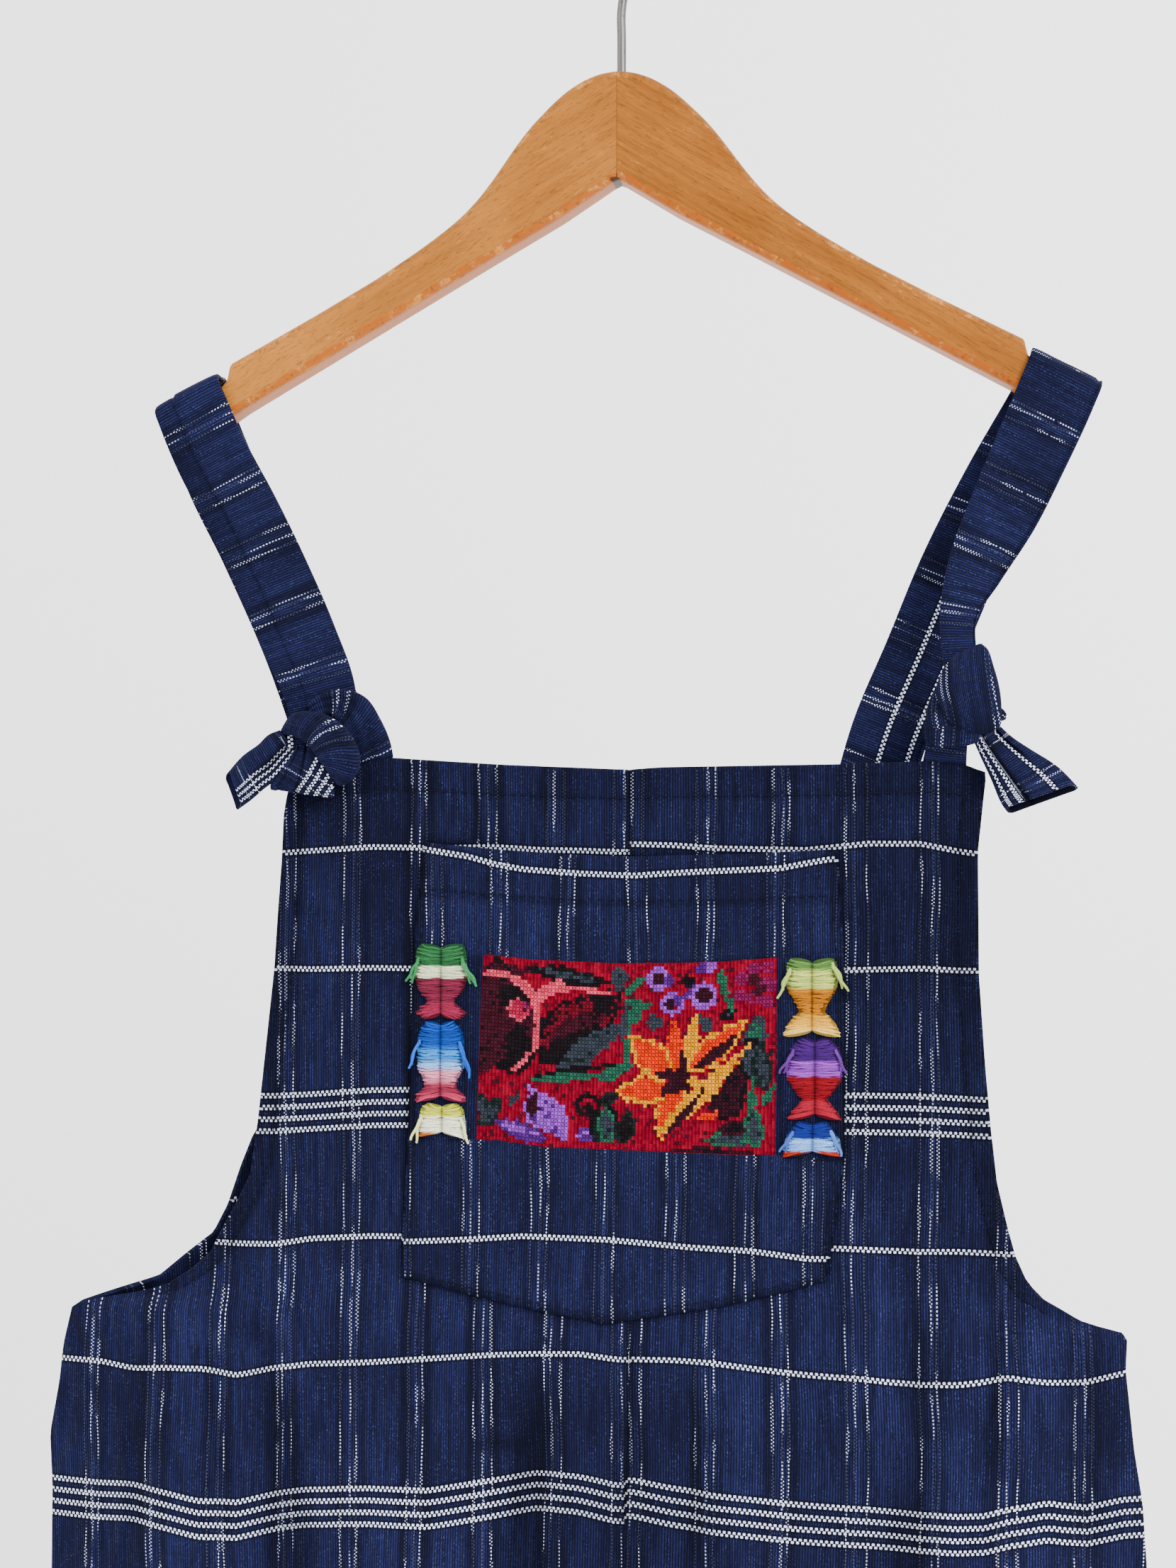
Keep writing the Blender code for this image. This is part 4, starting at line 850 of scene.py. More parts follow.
def cloth_depth(side, face, across, drop):
    """How far the middle of the wall stands out from y = 0.

    Across a body half the depth falls from the centre to the outer edge as 1 - u^3, and across a
    leg to both edges as 1 - |2u - 1|^3. Folds and creases are added, and fade at the edges.
    """
    centre = CENTRE_DEPTH[face](drop)
    edge = EDGE_DEPTH[face](drop)
    leg = smooth_step((drop - CROTCH_DROP + RISE_CURVE) / RISE_CURVE)
    form = (1.0 - across ** 3) * (1.0 - leg) + (1.0 - np.abs(2.0 * across - 1.0) ** 3) * leg
    x = inner_x(side, drop) + (EDGES[(side, face)](drop) - inner_x(side, drop)) * across
    fade = np.minimum(1.0, 5.0 * (1.0 - across)) * np.minimum(1.0, 1.0 - leg + 5.0 * across)
    height = ridges(FOLDS, face, x, drop) + ridges(CROSS_CREASES, face, drop, x)
    return CLOTH / 2 + 0.05 + np.maximum(edge + (centre - edge) * form + height * fade, 0.0)


def panel_surface(side, face, across, drop):
    """Points in the middle of a body panel's wall."""
    inner = inner_x(side, drop)
    x = inner + (EDGES[(side, face)](drop) - inner) * across
    y = face * cloth_depth(side, face, across, drop)
    rise = top_rise(x) * np.clip(1.0 - drop / TOP_FADE, 0.0, 1.0) if face < 0 else 0.0 * x
    return np.stack([x, y, BIB_TOP_Z - drop + rise], axis=-1)


def front_surface(x, drop):
    """Points in the middle of the front's wall, from x and drop."""
    side = np.where(x < seam_x(drop), -1, 1)
    result = np.zeros(np.broadcast(x, drop).shape + (3,))
    for which in (-1, 1):
        inner = inner_x(which, drop)
        across = np.clip((x - inner) / (EDGES[(which, -1)](drop) - inner), 0.0, 1.0)
        half = panel_surface(which, -1, across, drop)
        result[side == which] = half[side == which]
    result[..., 0] = x
    return result


def weft_sag(side, x, drop):
    """The sag of the weft at a place: between two lines it passes smoothly from one to the next.

    Below the last of them it fades to less than half.
    """
    lines = [line(x) for line in SAG[side]]
    sag = lines[0]
    for k in range(len(lines) - 1):
        t = smooth_step((drop - WEFT_LINES[k]) / (WEFT_LINES[k + 1] - WEFT_LINES[k]))
        sag = sag + (lines[k + 1] - lines[k]) * t
    return sag * (1.0 - 0.55 * smooth_step((drop - 245.0) / 250.0))


def panel_weave(side, face, points):
    """u across the warp and v down it; the ikat groups sit where each half's do.

    On the right front they lie a little wider apart, and the back has a sag of its own, made of
    the front's from the other side.
    """
    x, drop = points[..., 0], BIB_TOP_Z - points[..., 2]
    if face < 0:
        u = x + 20.4 if side < 0 else (x - 4.8) * IKAT_PITCH / IKAT_PITCH_RIGHT
        return np.stack([u, drop - weft_sag(side, x, drop)], axis=-1)
    u = x + (31.0 if side < 0 else 7.0)
    return np.stack([u, drop + 11.0 - 0.7 * weft_sag(-side, -x, drop)], axis=-1)


def hem_bulge(distance, depth, size):
    """Extra thickness where the edge is turned in: full up to the hem's depth, then a step."""
    return size * smooth_step((depth - distance) / 1.4) * (0.75 + 0.25 * np.cos(distance * 0.9))


def panel_shade(face, across, drop, surface, edge, free, top):
    """Darker in the hollows of folds, as painted shade, and along the hems.

    A hollow is how far the cloth lies behind its average over six columns each way. The bib is a
    little darker than the rest; there is painted shadow round the pocket and along the inner
    edge's seam, and darker places that are partly painted shadow and partly deeper dye.
    """
    depth = face * surface[..., 1]
    wide = sum(np.roll(depth, k, axis=1) for k in range(-6, 7)) / 13.0
    inner = (across > 0.12) & (across < 0.86)
    # Painted shade in the hollows of folds.
    hollow = np.where(inner, np.clip((wide - depth) * 0.55, -0.25, 0.45), 0.0)
    level = 1.0 - hollow
    level = level * (1.0 - 0.30 * smooth_step((7.5 - (1.0 - across) * edge) / 1.5) * free)
    level = level * (1.0 - 0.16 * smooth_step((9.5 - (drop - top)) / 1.5))
    level = level * (1.0 - 0.16 * smooth_step((175.0 - drop) / 90.0))
    if face < 0:
        x = surface[..., 0]
        beyond = np.maximum(np.maximum(pocket_left(drop) - x, x - pocket_right(drop)),
                            np.maximum(drop - pocket_bottom(x), pocket_top(x) - drop))
        # Painted shadow just outside the pocket's sewn outline.
        level = level * (1.0 - 0.42 * smooth_step(1.0 - np.maximum(beyond, 0.0) / 3.2))
        # Darker places, partly painted shadow and partly deeper dye.
        for middle, down, wide_reach, tall_reach, amount in SHADOW_AND_DYE_PLACES:
            away = ((x - middle) / wide_reach) ** 2 + ((drop - down) / tall_reach) ** 2
            level = level * (1.0 - amount * np.exp(-away))
    # Painted shadow along the inner edge's seam.
    return level * (1.0 - 0.62 * np.exp(-(across * edge / 0.9) ** 2))


def body_panel(name, side, face, hung_from):
    """One cut piece of the body from its top edge to the leg's hem, with turned hems.

    The rows lie closer at the top, at the armhole and at the hem, and the columns at the edge.
    """
    top = 0.0 if face < 0 else BACK_TOP_DROP
    drops = np.concatenate([
        np.linspace(top, top + 14.0, 9)[:-1], np.linspace(top + 14.0, 126.0, 34)[:-1],
        np.linspace(126.0, 184.0, 34)[:-1], np.linspace(184.0, 440.0, 78)[:-1],
        np.linspace(440.0, HEM_DROP - 24.0, 64)[:-1], np.linspace(HEM_DROP - 24.0, HEM_DROP, 14)])
    across = np.concatenate([np.linspace(0.0, 0.94, 58)[:-1], np.linspace(0.94, 1.0, 8)])
    a, d = np.meshgrid(across, drops)
    surface = panel_surface(side, face, a, d)
    edge = np.abs(EDGES[(side, face)](d) - inner_x(side, d))
    free = 1.0 - smooth_step((d - 171.0) / 6.0)
    extra = hem_bulge(d - top, 9.0, 0.5) + hem_bulge(HEM_DROP - d, 20.0, 0.5)
    extra = np.maximum(extra, hem_bulge((1.0 - a) * edge, 6.0, 0.45) * free)
    pucker = 0.10 * np.sin(surface[..., 0] * 1.9 + 0.6 * np.sin(surface[..., 0] * 0.37))
    extra = extra + pucker * np.exp(-((d - top - 9.0) / 3.5) ** 2)
    points, faces, rim = cloth_wall(surface, (0, face, 0), CLOTH / 2 + extra, CLOTH / 2)
    weave = wall_values(panel_weave(side, face, surface), rim)
    shade = wall_values(panel_shade(face, a, d, surface, edge, free, top), rim)
    panel = add_piece(name + "_cloth", points, faces, cloth,
                      (name,), weave,
                      shade=shade)


for panel_name, panel_row in PANELS.items():
    body_panel(panel_name, *panel_row)


# ---------------------------------------------------------------- the patch pocket

# The seams inside the pocket: the band's and the lower part's as x and drop, the patch's sides
# as drop and x
BAND_BOTTOM = (
    (-66.0, 54.9), (-45.0, 58.2), (-27.0, 59.8), (0.0, 60.8), (30.0, 60.3), (71.0, 57.0),
)
LOWER_TOP = (
    (-67.0, 117.2), (-38.0, 117.7), (-23.0, 119.6), (10.0, 120.4), (50.0, 121.2), (72.0, 122.6),
)
PATCH_LEFT = ((54.0, -43.0), (124.0, -45.5))
PATCH_RIGHT = ((54.0, 51.0), (124.0, 50.5))
UPPER_LINE = (
    # x, drop of the band's own white line
    (-62.5, 26.0), (-48.4, 27.8), (-39.2, 30.0), (-30.0, 31.4), (-11.7, 32.4), (6.6, 32.8),
    (24.7, 31.8), (51.8, 30.8), (60.8, 29.2), (67.5, 28.1),
)
LOWER_LINE = (
    # x, drop of the lower part's white line
    (-66.9, 150.6), (-48.4, 149.4), (-30.0, 147.9), (-2.6, 148.5), (24.7, 150.5), (42.8, 151.3),
    (60.8, 153.6),
)
POCKET_LAYER = CLOTH / 2 + 0.3 + POCKET_CLOTH / 2


def pocket_stand(x, drop):
    """How far the pocket's middle bellies away from the front: nothing at its sewn edges."""
    left, right = pocket_left(drop), pocket_right(drop)
    top, bottom = pocket_top(x), pocket_bottom(x)
    across = np.clip((x - left) / (right - left), 0.0, 1.0)
    down = np.clip((drop - top) / (bottom - top), 0.0, 1.0)
    belly = np.sin(math.pi * across) ** 0.7 * np.sqrt(np.clip(1.0 - down, 0.0, 1.0)) * 1.1
    mouth = np.exp(-((x - 30.0) / 34.0) ** 2) * np.exp(-(down / 0.10) ** 2) * 1.9
    return belly + mouth * np.sin(math.pi * across) ** 0.5


def on_pocket(x, drop, out):
    """Points at a height above the pocket's middle layer."""
    points = front_surface(x, drop)
    points[..., 1] -= POCKET_LAYER + pocket_stand(x, drop) + out
    return points


def pocket_grid(left, right, top, bottom, cols, rows):
    """x and drop of a grid bounded by four lines."""
    left_x, right_x, top_drop, bottom_drop = (column(t) for t in (left, right, top, bottom))
    s, t = np.meshgrid(np.linspace(0, 1, cols), np.linspace(0, 1, rows))
    drop = 90.0 + 0.0 * s
    x = left_x(drop) + (right_x(drop) - left_x(drop)) * s
    for _ in range(3):
        drop = top_drop(x) + (bottom_drop(x) - top_drop(x)) * t
        x = left_x(drop) + (right_x(drop) - left_x(drop)) * s
    return x, drop, s, t


def pocket_shade(x, drop):
    """Painted shadow at the sewn outline and just below the mouth's hem; darker over the hem
    and beside the patch.
    """
    rim = np.minimum(np.minimum(x - pocket_left(drop), pocket_right(drop) - x),
                     pocket_bottom(x) - drop)
    below = drop - pocket_top(x)
    # Painted shadow along the sewn outline.
    level = 1.0 - 0.5 * np.exp(-(np.maximum(rim - 0.4, 0.0) / 1.3) ** 2)
    level = level * (1.0 - 0.12 * smooth_step((14.0 - below) / 1.5))
    # Painted shadow in a line just below the hem's edge.
    level = level * (1.0 - 0.35 * np.exp(-((below - 14.6) / 0.9) ** 2))
    beside = (drop > column(BAND_BOTTOM)(x)) & (drop < column(LOWER_TOP)(x))
    return np.where(beside, 0.68 * level, level)


def pocket_cloth(name, outline, cols, rows, material, weave_of):
    """One cloth piece of the pocket, as a thin wall; the upper one is hemmed at the mouth."""
    x, drop, _, _ = pocket_grid(*outline, cols, rows)
    hem = hem_bulge(drop - pocket_top(x), 14.0, 0.4) if name == "pocket_upper" else 0.0
    points, faces, rim = cloth_wall(on_pocket(x, drop, 0.0), (0, -1, 0), POCKET_CLOTH / 2 + hem,
                                    POCKET_CLOTH / 2)
    weave = wall_values(np.stack(weave_of(x, drop), axis=-1), rim)
    piece = add_piece(name + "_cloth", points, faces, material, (name,), weave,
                      shade=wall_values(pocket_shade(x, drop), rim))


pocket_cloth("pocket_upper", (POCKET_LEFT, POCKET_RIGHT, POCKET_TOP, BAND_BOTTOM), 91, 26, cloth,
             lambda x, d: (x + 59.8, WEFT_FIRST + d - column(UPPER_LINE)(x)))
pocket_cloth("pocket_lower", (POCKET_LEFT, POCKET_RIGHT, LOWER_TOP, POCKET_BOTTOM), 91, 36, cloth,
             lambda x, d: (x + 3.1 + 7 * IKAT_PITCH, WEFT_FIRST + d - column(LOWER_LINE)(x)))
pocket_cloth("pocket_ground_left", (POCKET_LEFT, PATCH_LEFT, BAND_BOTTOM, LOWER_TOP), 16, 40,
             plain_cloth, lambda x, d: (x + 300.0, d))
pocket_cloth("pocket_ground_right", (PATCH_RIGHT, POCKET_RIGHT, BAND_BOTTOM, LOWER_TOP), 16, 40,
             plain_cloth, lambda x, d: (x + 400.0, d))


# ---------------------------------------------------------------- the embroidered patch

STITCHES_ACROSS = 84
STITCHES_DOWN = 52
PATCH_WIDE, PATCH_TALL = 94.0, 62.0
# How much red, green and blue the ground and each thread give back
RED = (0.160, 0.0014, 0.0110)
THREADS = {
    "crimson": (0.105, 0.0040, 0.0120), "maroon": (0.036, 0.0052, 0.0115),
    "black": (0.0075, 0.0052, 0.0070), "pink": (0.56, 0.045, 0.085), "rose": (0.33, 0.010, 0.044),
    "magenta": (0.150, 0.0060, 0.054), "slate": (0.024, 0.030, 0.042),
    "green": (0.012, 0.080, 0.046), "pine": (0.0075, 0.0130, 0.0125),
    "purple": (0.060, 0.010, 0.135), "lilac": (0.215, 0.042, 0.400),
    "orange": (0.58, 0.018, 0.0002), "yellow": (0.62, 0.240, 0.0002),
    "wine": (0.024, 0.0045, 0.0100),
}
# Petals and leaves in millimetres from the patch's upper left corner: base, length, half width
# and direction in degrees, and the threads of the middle and of the outline
PETALS = (
    # across, down, length, half width, direction, middle, outline
    (0, 4, 16, 2.0, 358, "maroon", "maroon"), (14, 3, 30, 2.6, 352, "slate", "black"),
    (20, 7, 22, 1.2, 356, "crimson", "black"), (44, 1, 9, 2.6, 268, "slate", "slate"),
    (10, 39, 40, 12.5, 98, "maroon", "black"), (1, 40, 33, 7.5, 84, "maroon", "maroon"),
    (13, 39, 18, 4.6, 92, "black", "black"), (5, 14, 14, 4.2, 10, "black", "black"),
    (8, 18, 9, 3.9, 12, "rose", "pink"), (12, 17, 6, 2.6, 20, "magenta", "rose"),
    (19, 32, 34, 9.6, 40, "crimson", "black"), (22, 29, 24, 4.6, 36, "maroon", "maroon"),
    (19, 34, 30, 4.4, 28, "black", "black"), (37, 17, 9, 3.2, 62, "black", "black"),
    (24, 38, 30, 3.9, 40, "slate", "slate"), (18, 39, 26, 1.3, 12, "black", "black"),
    (17, 40, 24, 1.5, 6, "green", "green"), (38, 39, 12, 2.3, 26, "green", "green"),
    (47, 36, 17, 1.1, 88, "green", "green"), (45, 26, 13, 1.7, 82, "slate", "slate"),
    (46, 10, 8, 1.8, 40, "green", "green"), (46, 13, 10, 1.5, 352, "green", "green"),
    (49, 20, 6, 2.2, 84, "green", "green"), (53, 20, 6, 2.8, 10, "slate", "slate"),
    (70, 17, 8, 1.8, 300, "slate", "slate"), (76, 19, 6, 1.8, 30, "slate", "black"),
    (76, 2, 14, 1.4, 282, "green", "green"), (79, 12, 5, 1.3, 290, "green", "green"),
    (64, 7, 5, 2.3, 20, "black", "black"), (69, 4, 5, 1.9, 60, "purple", "purple"),
    (72, 3, 6, 1.9, 60, "lilac", "lilac"), (64, 12, 8, 1.5, 38, "purple", "purple"),
    (86, 30, 13, 3.6, 76, "green", "slate"), (85, 38, 13, 3.9, 84, "slate", "black"),
    (90, 42, 16, 3.4, 92, "slate", "pine"), (84, 28, 5, 1.9, 30, "black", "black"),
    (74, 50, 15, 5.4, 44, "wine", "black"), (80, 46, 14, 4.2, 78, "wine", "black"),
    (86, 54, 17, 1.4, 86, "green", "green"), (82, 60, 12, 3.4, 64, "pine", "slate"),
    (72, 58, 18, 2.7, 8, "slate", "green"), (76, 55, 13, 2.6, 14, "black", "wine"),
    (88, 60, 14, 3.2, 96, "slate", "green"), (62, 61, 30, 1.4, 358, "black", "wine"),
    (90, 46, 7, 1.5, 60, "green", "green"), (70, 51, 7, 1.6, 20, "orange", "orange"),
    (63, 37, 18, 3.4, 94, "orange", "orange"), (66, 36, 20, 2.4, 82, "yellow", "yellow"),
    (69, 36, 14, 2.5, 72, "orange", "orange"), (61, 37, 19, 5.4, 136, "orange", "yellow"),
    (62, 41, 20, 4.9, 186, "orange", "yellow"), (64, 40, 20, 5.0, 252, "orange", "yellow"),
    (66, 36, 26, 4.8, 42, "orange", "yellow"), (68, 35, 20, 1.8, 38, "wine", "wine"),
    (57, 57, 42, 3.1, 46, "yellow", "yellow"), (60, 57, 20, 1.2, 54, "wine", "wine"),
    (67, 38, 11, 2.3, 172, "wine", "wine"), (65, 39, 9, 2.0, 208, "wine", "wine"),
    (64, 35, 9, 2.2, 290, "wine", "wine"), (65, 42, 13, 1.4, 92, "wine", "wine"),
    (66, 39, 4, 1.4, 10, "yellow", "yellow"),
    (27, 58, 18, 5.2, 122, "lilac", "lilac"), (22, 59, 18, 3.2, 168, "lilac", "purple"),
    (19, 56, 14, 2.9, 100, "purple", "lilac"), (17, 52, 8, 1.9, 80, "wine", "wine"),
    (28, 60, 11, 2.0, 96, "lilac", "lilac"), (20, 60, 9, 1.6, 178, "purple", "purple"),
    (31, 58, 8, 2.4, 12, "lilac", "purple"), (38, 60, 14, 4.6, 66, "pine", "black"),
    (42, 60, 13, 3.2, 96, "slate", "green"), (46, 60, 12, 3.4, 78, "black", "pine"),
    (39, 47, 7, 1.9, 34, "black", "pine"), (0, 46, 12, 2.7, 286, "slate", "pine"),
    (1, 58, 13, 3.0, 58, "slate", "pine"), (10, 50, 6, 1.2, 60, "slate", "slate"),
)
# Small blossoms and a tendril: middle, radius and half width of the ring
RINGS = (
    # across, down, radius, half width, thread
    (56.5, 5.5, 2.6, 1.4, "lilac"), (56.5, 5.5, 1.0, 1.2, "wine"), (59.6, 6.0, 0.8, 1.1, "purple"),
    (71.0, 11.0, 3.4, 1.1, "lilac"), (71.0, 11.0, 1.2, 1.3, "wine"),
    (61.0, 13.6, 2.8, 1.0, "lilac"), (60.6, 13.4, 0.8, 1.1, "wine"),
    (62.6, 12.4, 0.6, 1.0, "purple"), (83.0, 6.0, 1.2, 1.0, "magenta"),
    (86.4, 3.0, 1.2, 1.0, "magenta"), (91.0, 3.0, 1.3, 1.0, "magenta"),
    (91.4, 8.6, 1.4, 1.2, "magenta"), (86.6, 12.4, 1.2, 1.0, "magenta"),
    (82.6, 11.4, 1.2, 1.0, "magenta"), (90.8, 13.6, 1.2, 1.0, "magenta"),
    (87.0, 6.6, 0.8, 1.2, "maroon"), (88.6, 10.0, 0.9, 1.0, "maroon"),
    (35.4, 47.6, 3.4, 0.75, "black"), (35.4, 48.4, 0.6, 0.9, "black"),
)
# Single stitches of a second thread among a petal's own
STREWN = {"maroon": "black", "crimson": "black", "wine": "black", "slate": "pine", "green": "slate",
          "pine": "green", "lilac": "purple", "magenta": "maroon"}
# Pink lines, sewn over the petals
PINK_LINES = (
    # across, down, length, half width, direction
    (0, 6.4, 12, 0.5, 358), (10, 7, 10, 1.5, 318), (17.4, 13, 18, 0.55, 270),
    (17.6, 13.5, 11, 1.7, 34), (24, 9.8, 17, 0.45, 358), (16, 31, 9, 0.4, 232),
)


def scatter(i, j, across, down, size):
    """A steady chance number from 0 to 1 for every square: the fraction of a large sine wave."""
    large = np.sin(i * across + j * down) * size
    return large - np.floor(large)


def stitch_chart():
    """The thread of every square, painted petal by petal.

    A petal's half width along it is w sin(pi a^0.8), a from 0 at its base to 1 at its tip; its
    outline is the last stitch inside. Ragged edges come from a fixed wave of both directions.
    """
    wide, tall = PATCH_WIDE / STITCHES_ACROSS, PATCH_TALL / STITCHES_DOWN
    i, j = np.meshgrid((np.arange(STITCHES_ACROSS) + 0.5) * wide,
                       (np.arange(STITCHES_DOWN) + 0.5) * tall)
    tint = np.broadcast_to(np.array([*RED, 0.0]), i.shape + (4,)).copy()
    ragged = 0.35 * np.sin(i * 1.7 + j * 0.9) + 0.3 * np.sin(j * 2.3 - i * 0.6)
    strewn = scatter(i, j, 12.9898, 78.233, 43758.5453)

    def local(across, down, direction):
        """Every square's distance along a direction from a place, and beside it."""
        c, s = math.cos(math.radians(direction)), math.sin(math.radians(direction))
        dx, dy = i - across, down - j
        return dx * c + dy * s, -dx * s + dy * c

    def paint(mask, thread):
        """Work the squares of a mask in one thread."""
        tint[mask] = (*THREADS[thread], 1.0)

    for across, down, length, half, direction, middle, outline in PETALS:
        along, beside = local(across, down, direction)
        a = np.clip(along / length, 0.0, 1.0)
        reach = half * np.sin(math.pi * a ** 0.8) + ragged * min(1.0, half / 3.0)
        inside = (along > 0) & (along < length) & (np.abs(beside) < np.maximum(reach, 0.45))
        paint(inside, outline)
        paint(inside & (np.abs(beside) < reach - 1.25) & (a > 0.08) & (a < 0.92), middle)
        if middle in STREWN:
            paint(inside & (np.abs(beside) < reach - 1.2) & (strewn > 0.85), STREWN[middle])
    for across, down, length, half, direction in PINK_LINES:
        along, beside = local(across, down, direction)
        bow = 0.8 * np.sin(math.pi * np.clip(along / length, 0, 1))
        paint((along > 0) & (along < length) & (np.abs(beside - bow) < half + 0.3), "pink")
    for across, down, radius, half, thread in RINGS:
        paint(np.abs(np.hypot(i - across, j - down) - radius) < half, thread)
    bare = tint[..., 3] < 0.5
    paint((strewn > 0.88) & bare, "crimson")
    paint((strewn > 0.955) & bare, "maroon")
    tint[..., :3] *= 0.70 + 0.52 * scatter(i, j, 39.3468, 11.135, 24634.6345)[..., None]
    return tint


def embroidered_patch():
    """A wall with four faces to every stitch; worked squares stand a thread's height proud."""
    chart = stitch_chart()
    cols, rows = 2 * STITCHES_ACROSS + 1, 2 * STITCHES_DOWN + 1
    x, drop, s, t = pocket_grid(PATCH_LEFT, PATCH_RIGHT, BAND_BOTTOM, LOWER_TOP, cols, rows)
    worked = np.zeros((rows, cols))
    worked[1::2, 1::2] = chart[..., 3]
    for axis in (0, 1):
        beside = np.maximum(np.roll(worked, 1, axis), np.roll(worked, -1, axis))
        worked = np.maximum(worked, 0.55 * beside)
    out = POCKET_CLOTH / 2 - 0.1 + 0.55 * worked
    points, faces, rim = cloth_wall(on_pocket(x, drop, 0.0), (0, -1, 0), out, POCKET_CLOTH / 2)
    squares = np.repeat(np.repeat(chart, 2, axis=0), 2, axis=1).reshape(-1, 4)
    plain = np.broadcast_to(np.array([*RED, 0.0]), (len(faces) - len(squares), 4))
    weave = wall_values(np.stack([s * STITCHES_ACROSS, t * STITCHES_DOWN], axis=-1), rim)
    patch = add_piece("pocket_patch_stitches", points, faces, stitch_patch("cross-stitch on red"),
                      ("pocket_patch",), weave,
                      face_tint=np.concatenate([squares, plain]))


embroidered_patch()


# ---------------------------------------------------------------- raised stitched figures

FIGURES = {
    # name: middle x; drop and half width; and the drop from which each thread colour runs
    "randa_left_1": (-57.0, ((55.2, 7.2), (57.0, 8.3), (61.0, 8.5), (66.0, 8.9), (70.0, 7.4),
                             (73.6, 4.4), (75.0, 6.0), (77.2, 8.6), (79.4, 6.0)),
                     ((55.0, (0.026, 0.150, 0.048)), (62.2, (0.84, 0.94, 0.62)),
                      (66.0, (0.185, 0.016, 0.044)), (74.0, (0.29, 0.018, 0.058)))),
    "randa_left_2": (-57.0, ((79.8, 4.6), (82.0, 6.6), (86.0, 7.8), (95.0, 7.7), (99.0, 5.6),
                             (101.0, 5.2), (103.5, 8.0), (105.6, 9.0)),
                     ((79.0, (0.006, 0.062, 0.400)), (88.4, (0.030, 0.260, 0.700)),
                      (92.4, (0.25, 0.52, 0.95)), (95.2, (0.88, 0.33, 0.45)),
                      (99.2, (0.36, 0.030, 0.075)), (103.6, (0.52, 0.045, 0.11)))),
    "randa_left_3": (-56.4, ((106.0, 5.0), (108.0, 7.2), (113.0, 8.0), (117.0, 8.2)),
                     ((105.0, (0.62, 0.64, 0.060)), (110.2, (0.95, 0.95, 0.72)))),
    "randa_right_1": (62.0, ((59.0, 7.2), (61.0, 8.0), (68.0, 8.3), (72.0, 6.0), (75.6, 4.0),
                             (79.0, 7.4), (83.6, 9.4)),
                      ((58.0, (0.115, 0.250, 0.055)), (62.4, (0.52, 0.62, 0.130)),
                       (68.4, (0.46, 0.160, 0.006)), (76.4, (0.80, 0.40, 0.030)),
                       (80.6, (0.95, 0.62, 0.120)))),
    "randa_right_2": (62.9, ((84.0, 4.8), (87.0, 7.6), (91.0, 9.0), (97.0, 9.0), (101.0, 6.2),
                             (103.6, 4.0), (107.0, 7.2), (109.8, 8.8)),
                      ((83.0, (0.058, 0.010, 0.150)), (91.2, (0.30, 0.055, 0.50)),
                       (96.2, (0.27, 0.004, 0.012)), (103.8, (0.33, 0.010, 0.028)))),
    "randa_right_3": (62.2, ((110.2, 4.8), (113.0, 6.8), (116.0, 8.8), (121.4, 9.4)),
                      ((109.0, (0.012, 0.026, 0.26)), (115.4, (0.22, 0.45, 0.92)),
                       (119.6, (0.52, 0.026, 0.003)))),
}
# Over how many millimetres one colour passes into the next, where it isn't at once
SOFT_CHANGE = {"randa_left_2": 2.6, "randa_right_1": 1.0}
# One figure is ochre at its lower left: left of this x and below this drop
OCHRE_CORNER = (-57.6, 114.8, (0.40, 0.085, 0.003))
FIGURE_RELIEF = 2.8
STRAND = 0.34             # a strand's radius
STRAND_STATIONS = 19
STRAND_SIDES = 6
# The two ridges of a figure, from side to side, and how much lower they are at its narrow neck
ridge = column(((-1.0, 0.12), (-0.84, 0.74), (-0.5, 1.0), (-0.2, 0.82), (0.0, 0.28),
                (0.2, 0.82), (0.5, 1.0), (0.84, 0.74), (1.0, 0.12)))
neck_lift = column(((4.0, 0.62), (8.0, 1.0)))


def figure_colour(name, x, drop, chance):
    """The thread's colour at a place, each strand a little lighter or darker than the next."""
    bands = FIGURES[name][2]
    change = SOFT_CHANGE.get(name, 0.35)
    tint = np.broadcast_to(np.array(bands[0][1]), drop.shape + (3,)).copy()
    for start, colour in bands[1:]:
        share = smooth_step((drop - start) / change + 0.5)[..., None]
        tint = tint + (np.array(colour) - tint) * share
    if name == "randa_left_3":
        corner_x, corner_drop, ochre = OCHRE_CORNER
        share = smooth_step((corner_x - x) / 0.8) * smooth_step(drop - corner_drop)
        tint = tint + (np.array(ochre) - tint) * share[..., None]
    tint = tint * (0.68 + 0.46 * chance)[..., None]
    return np.concatenate([tint, np.ones(drop.shape + (1,))], axis=-1)


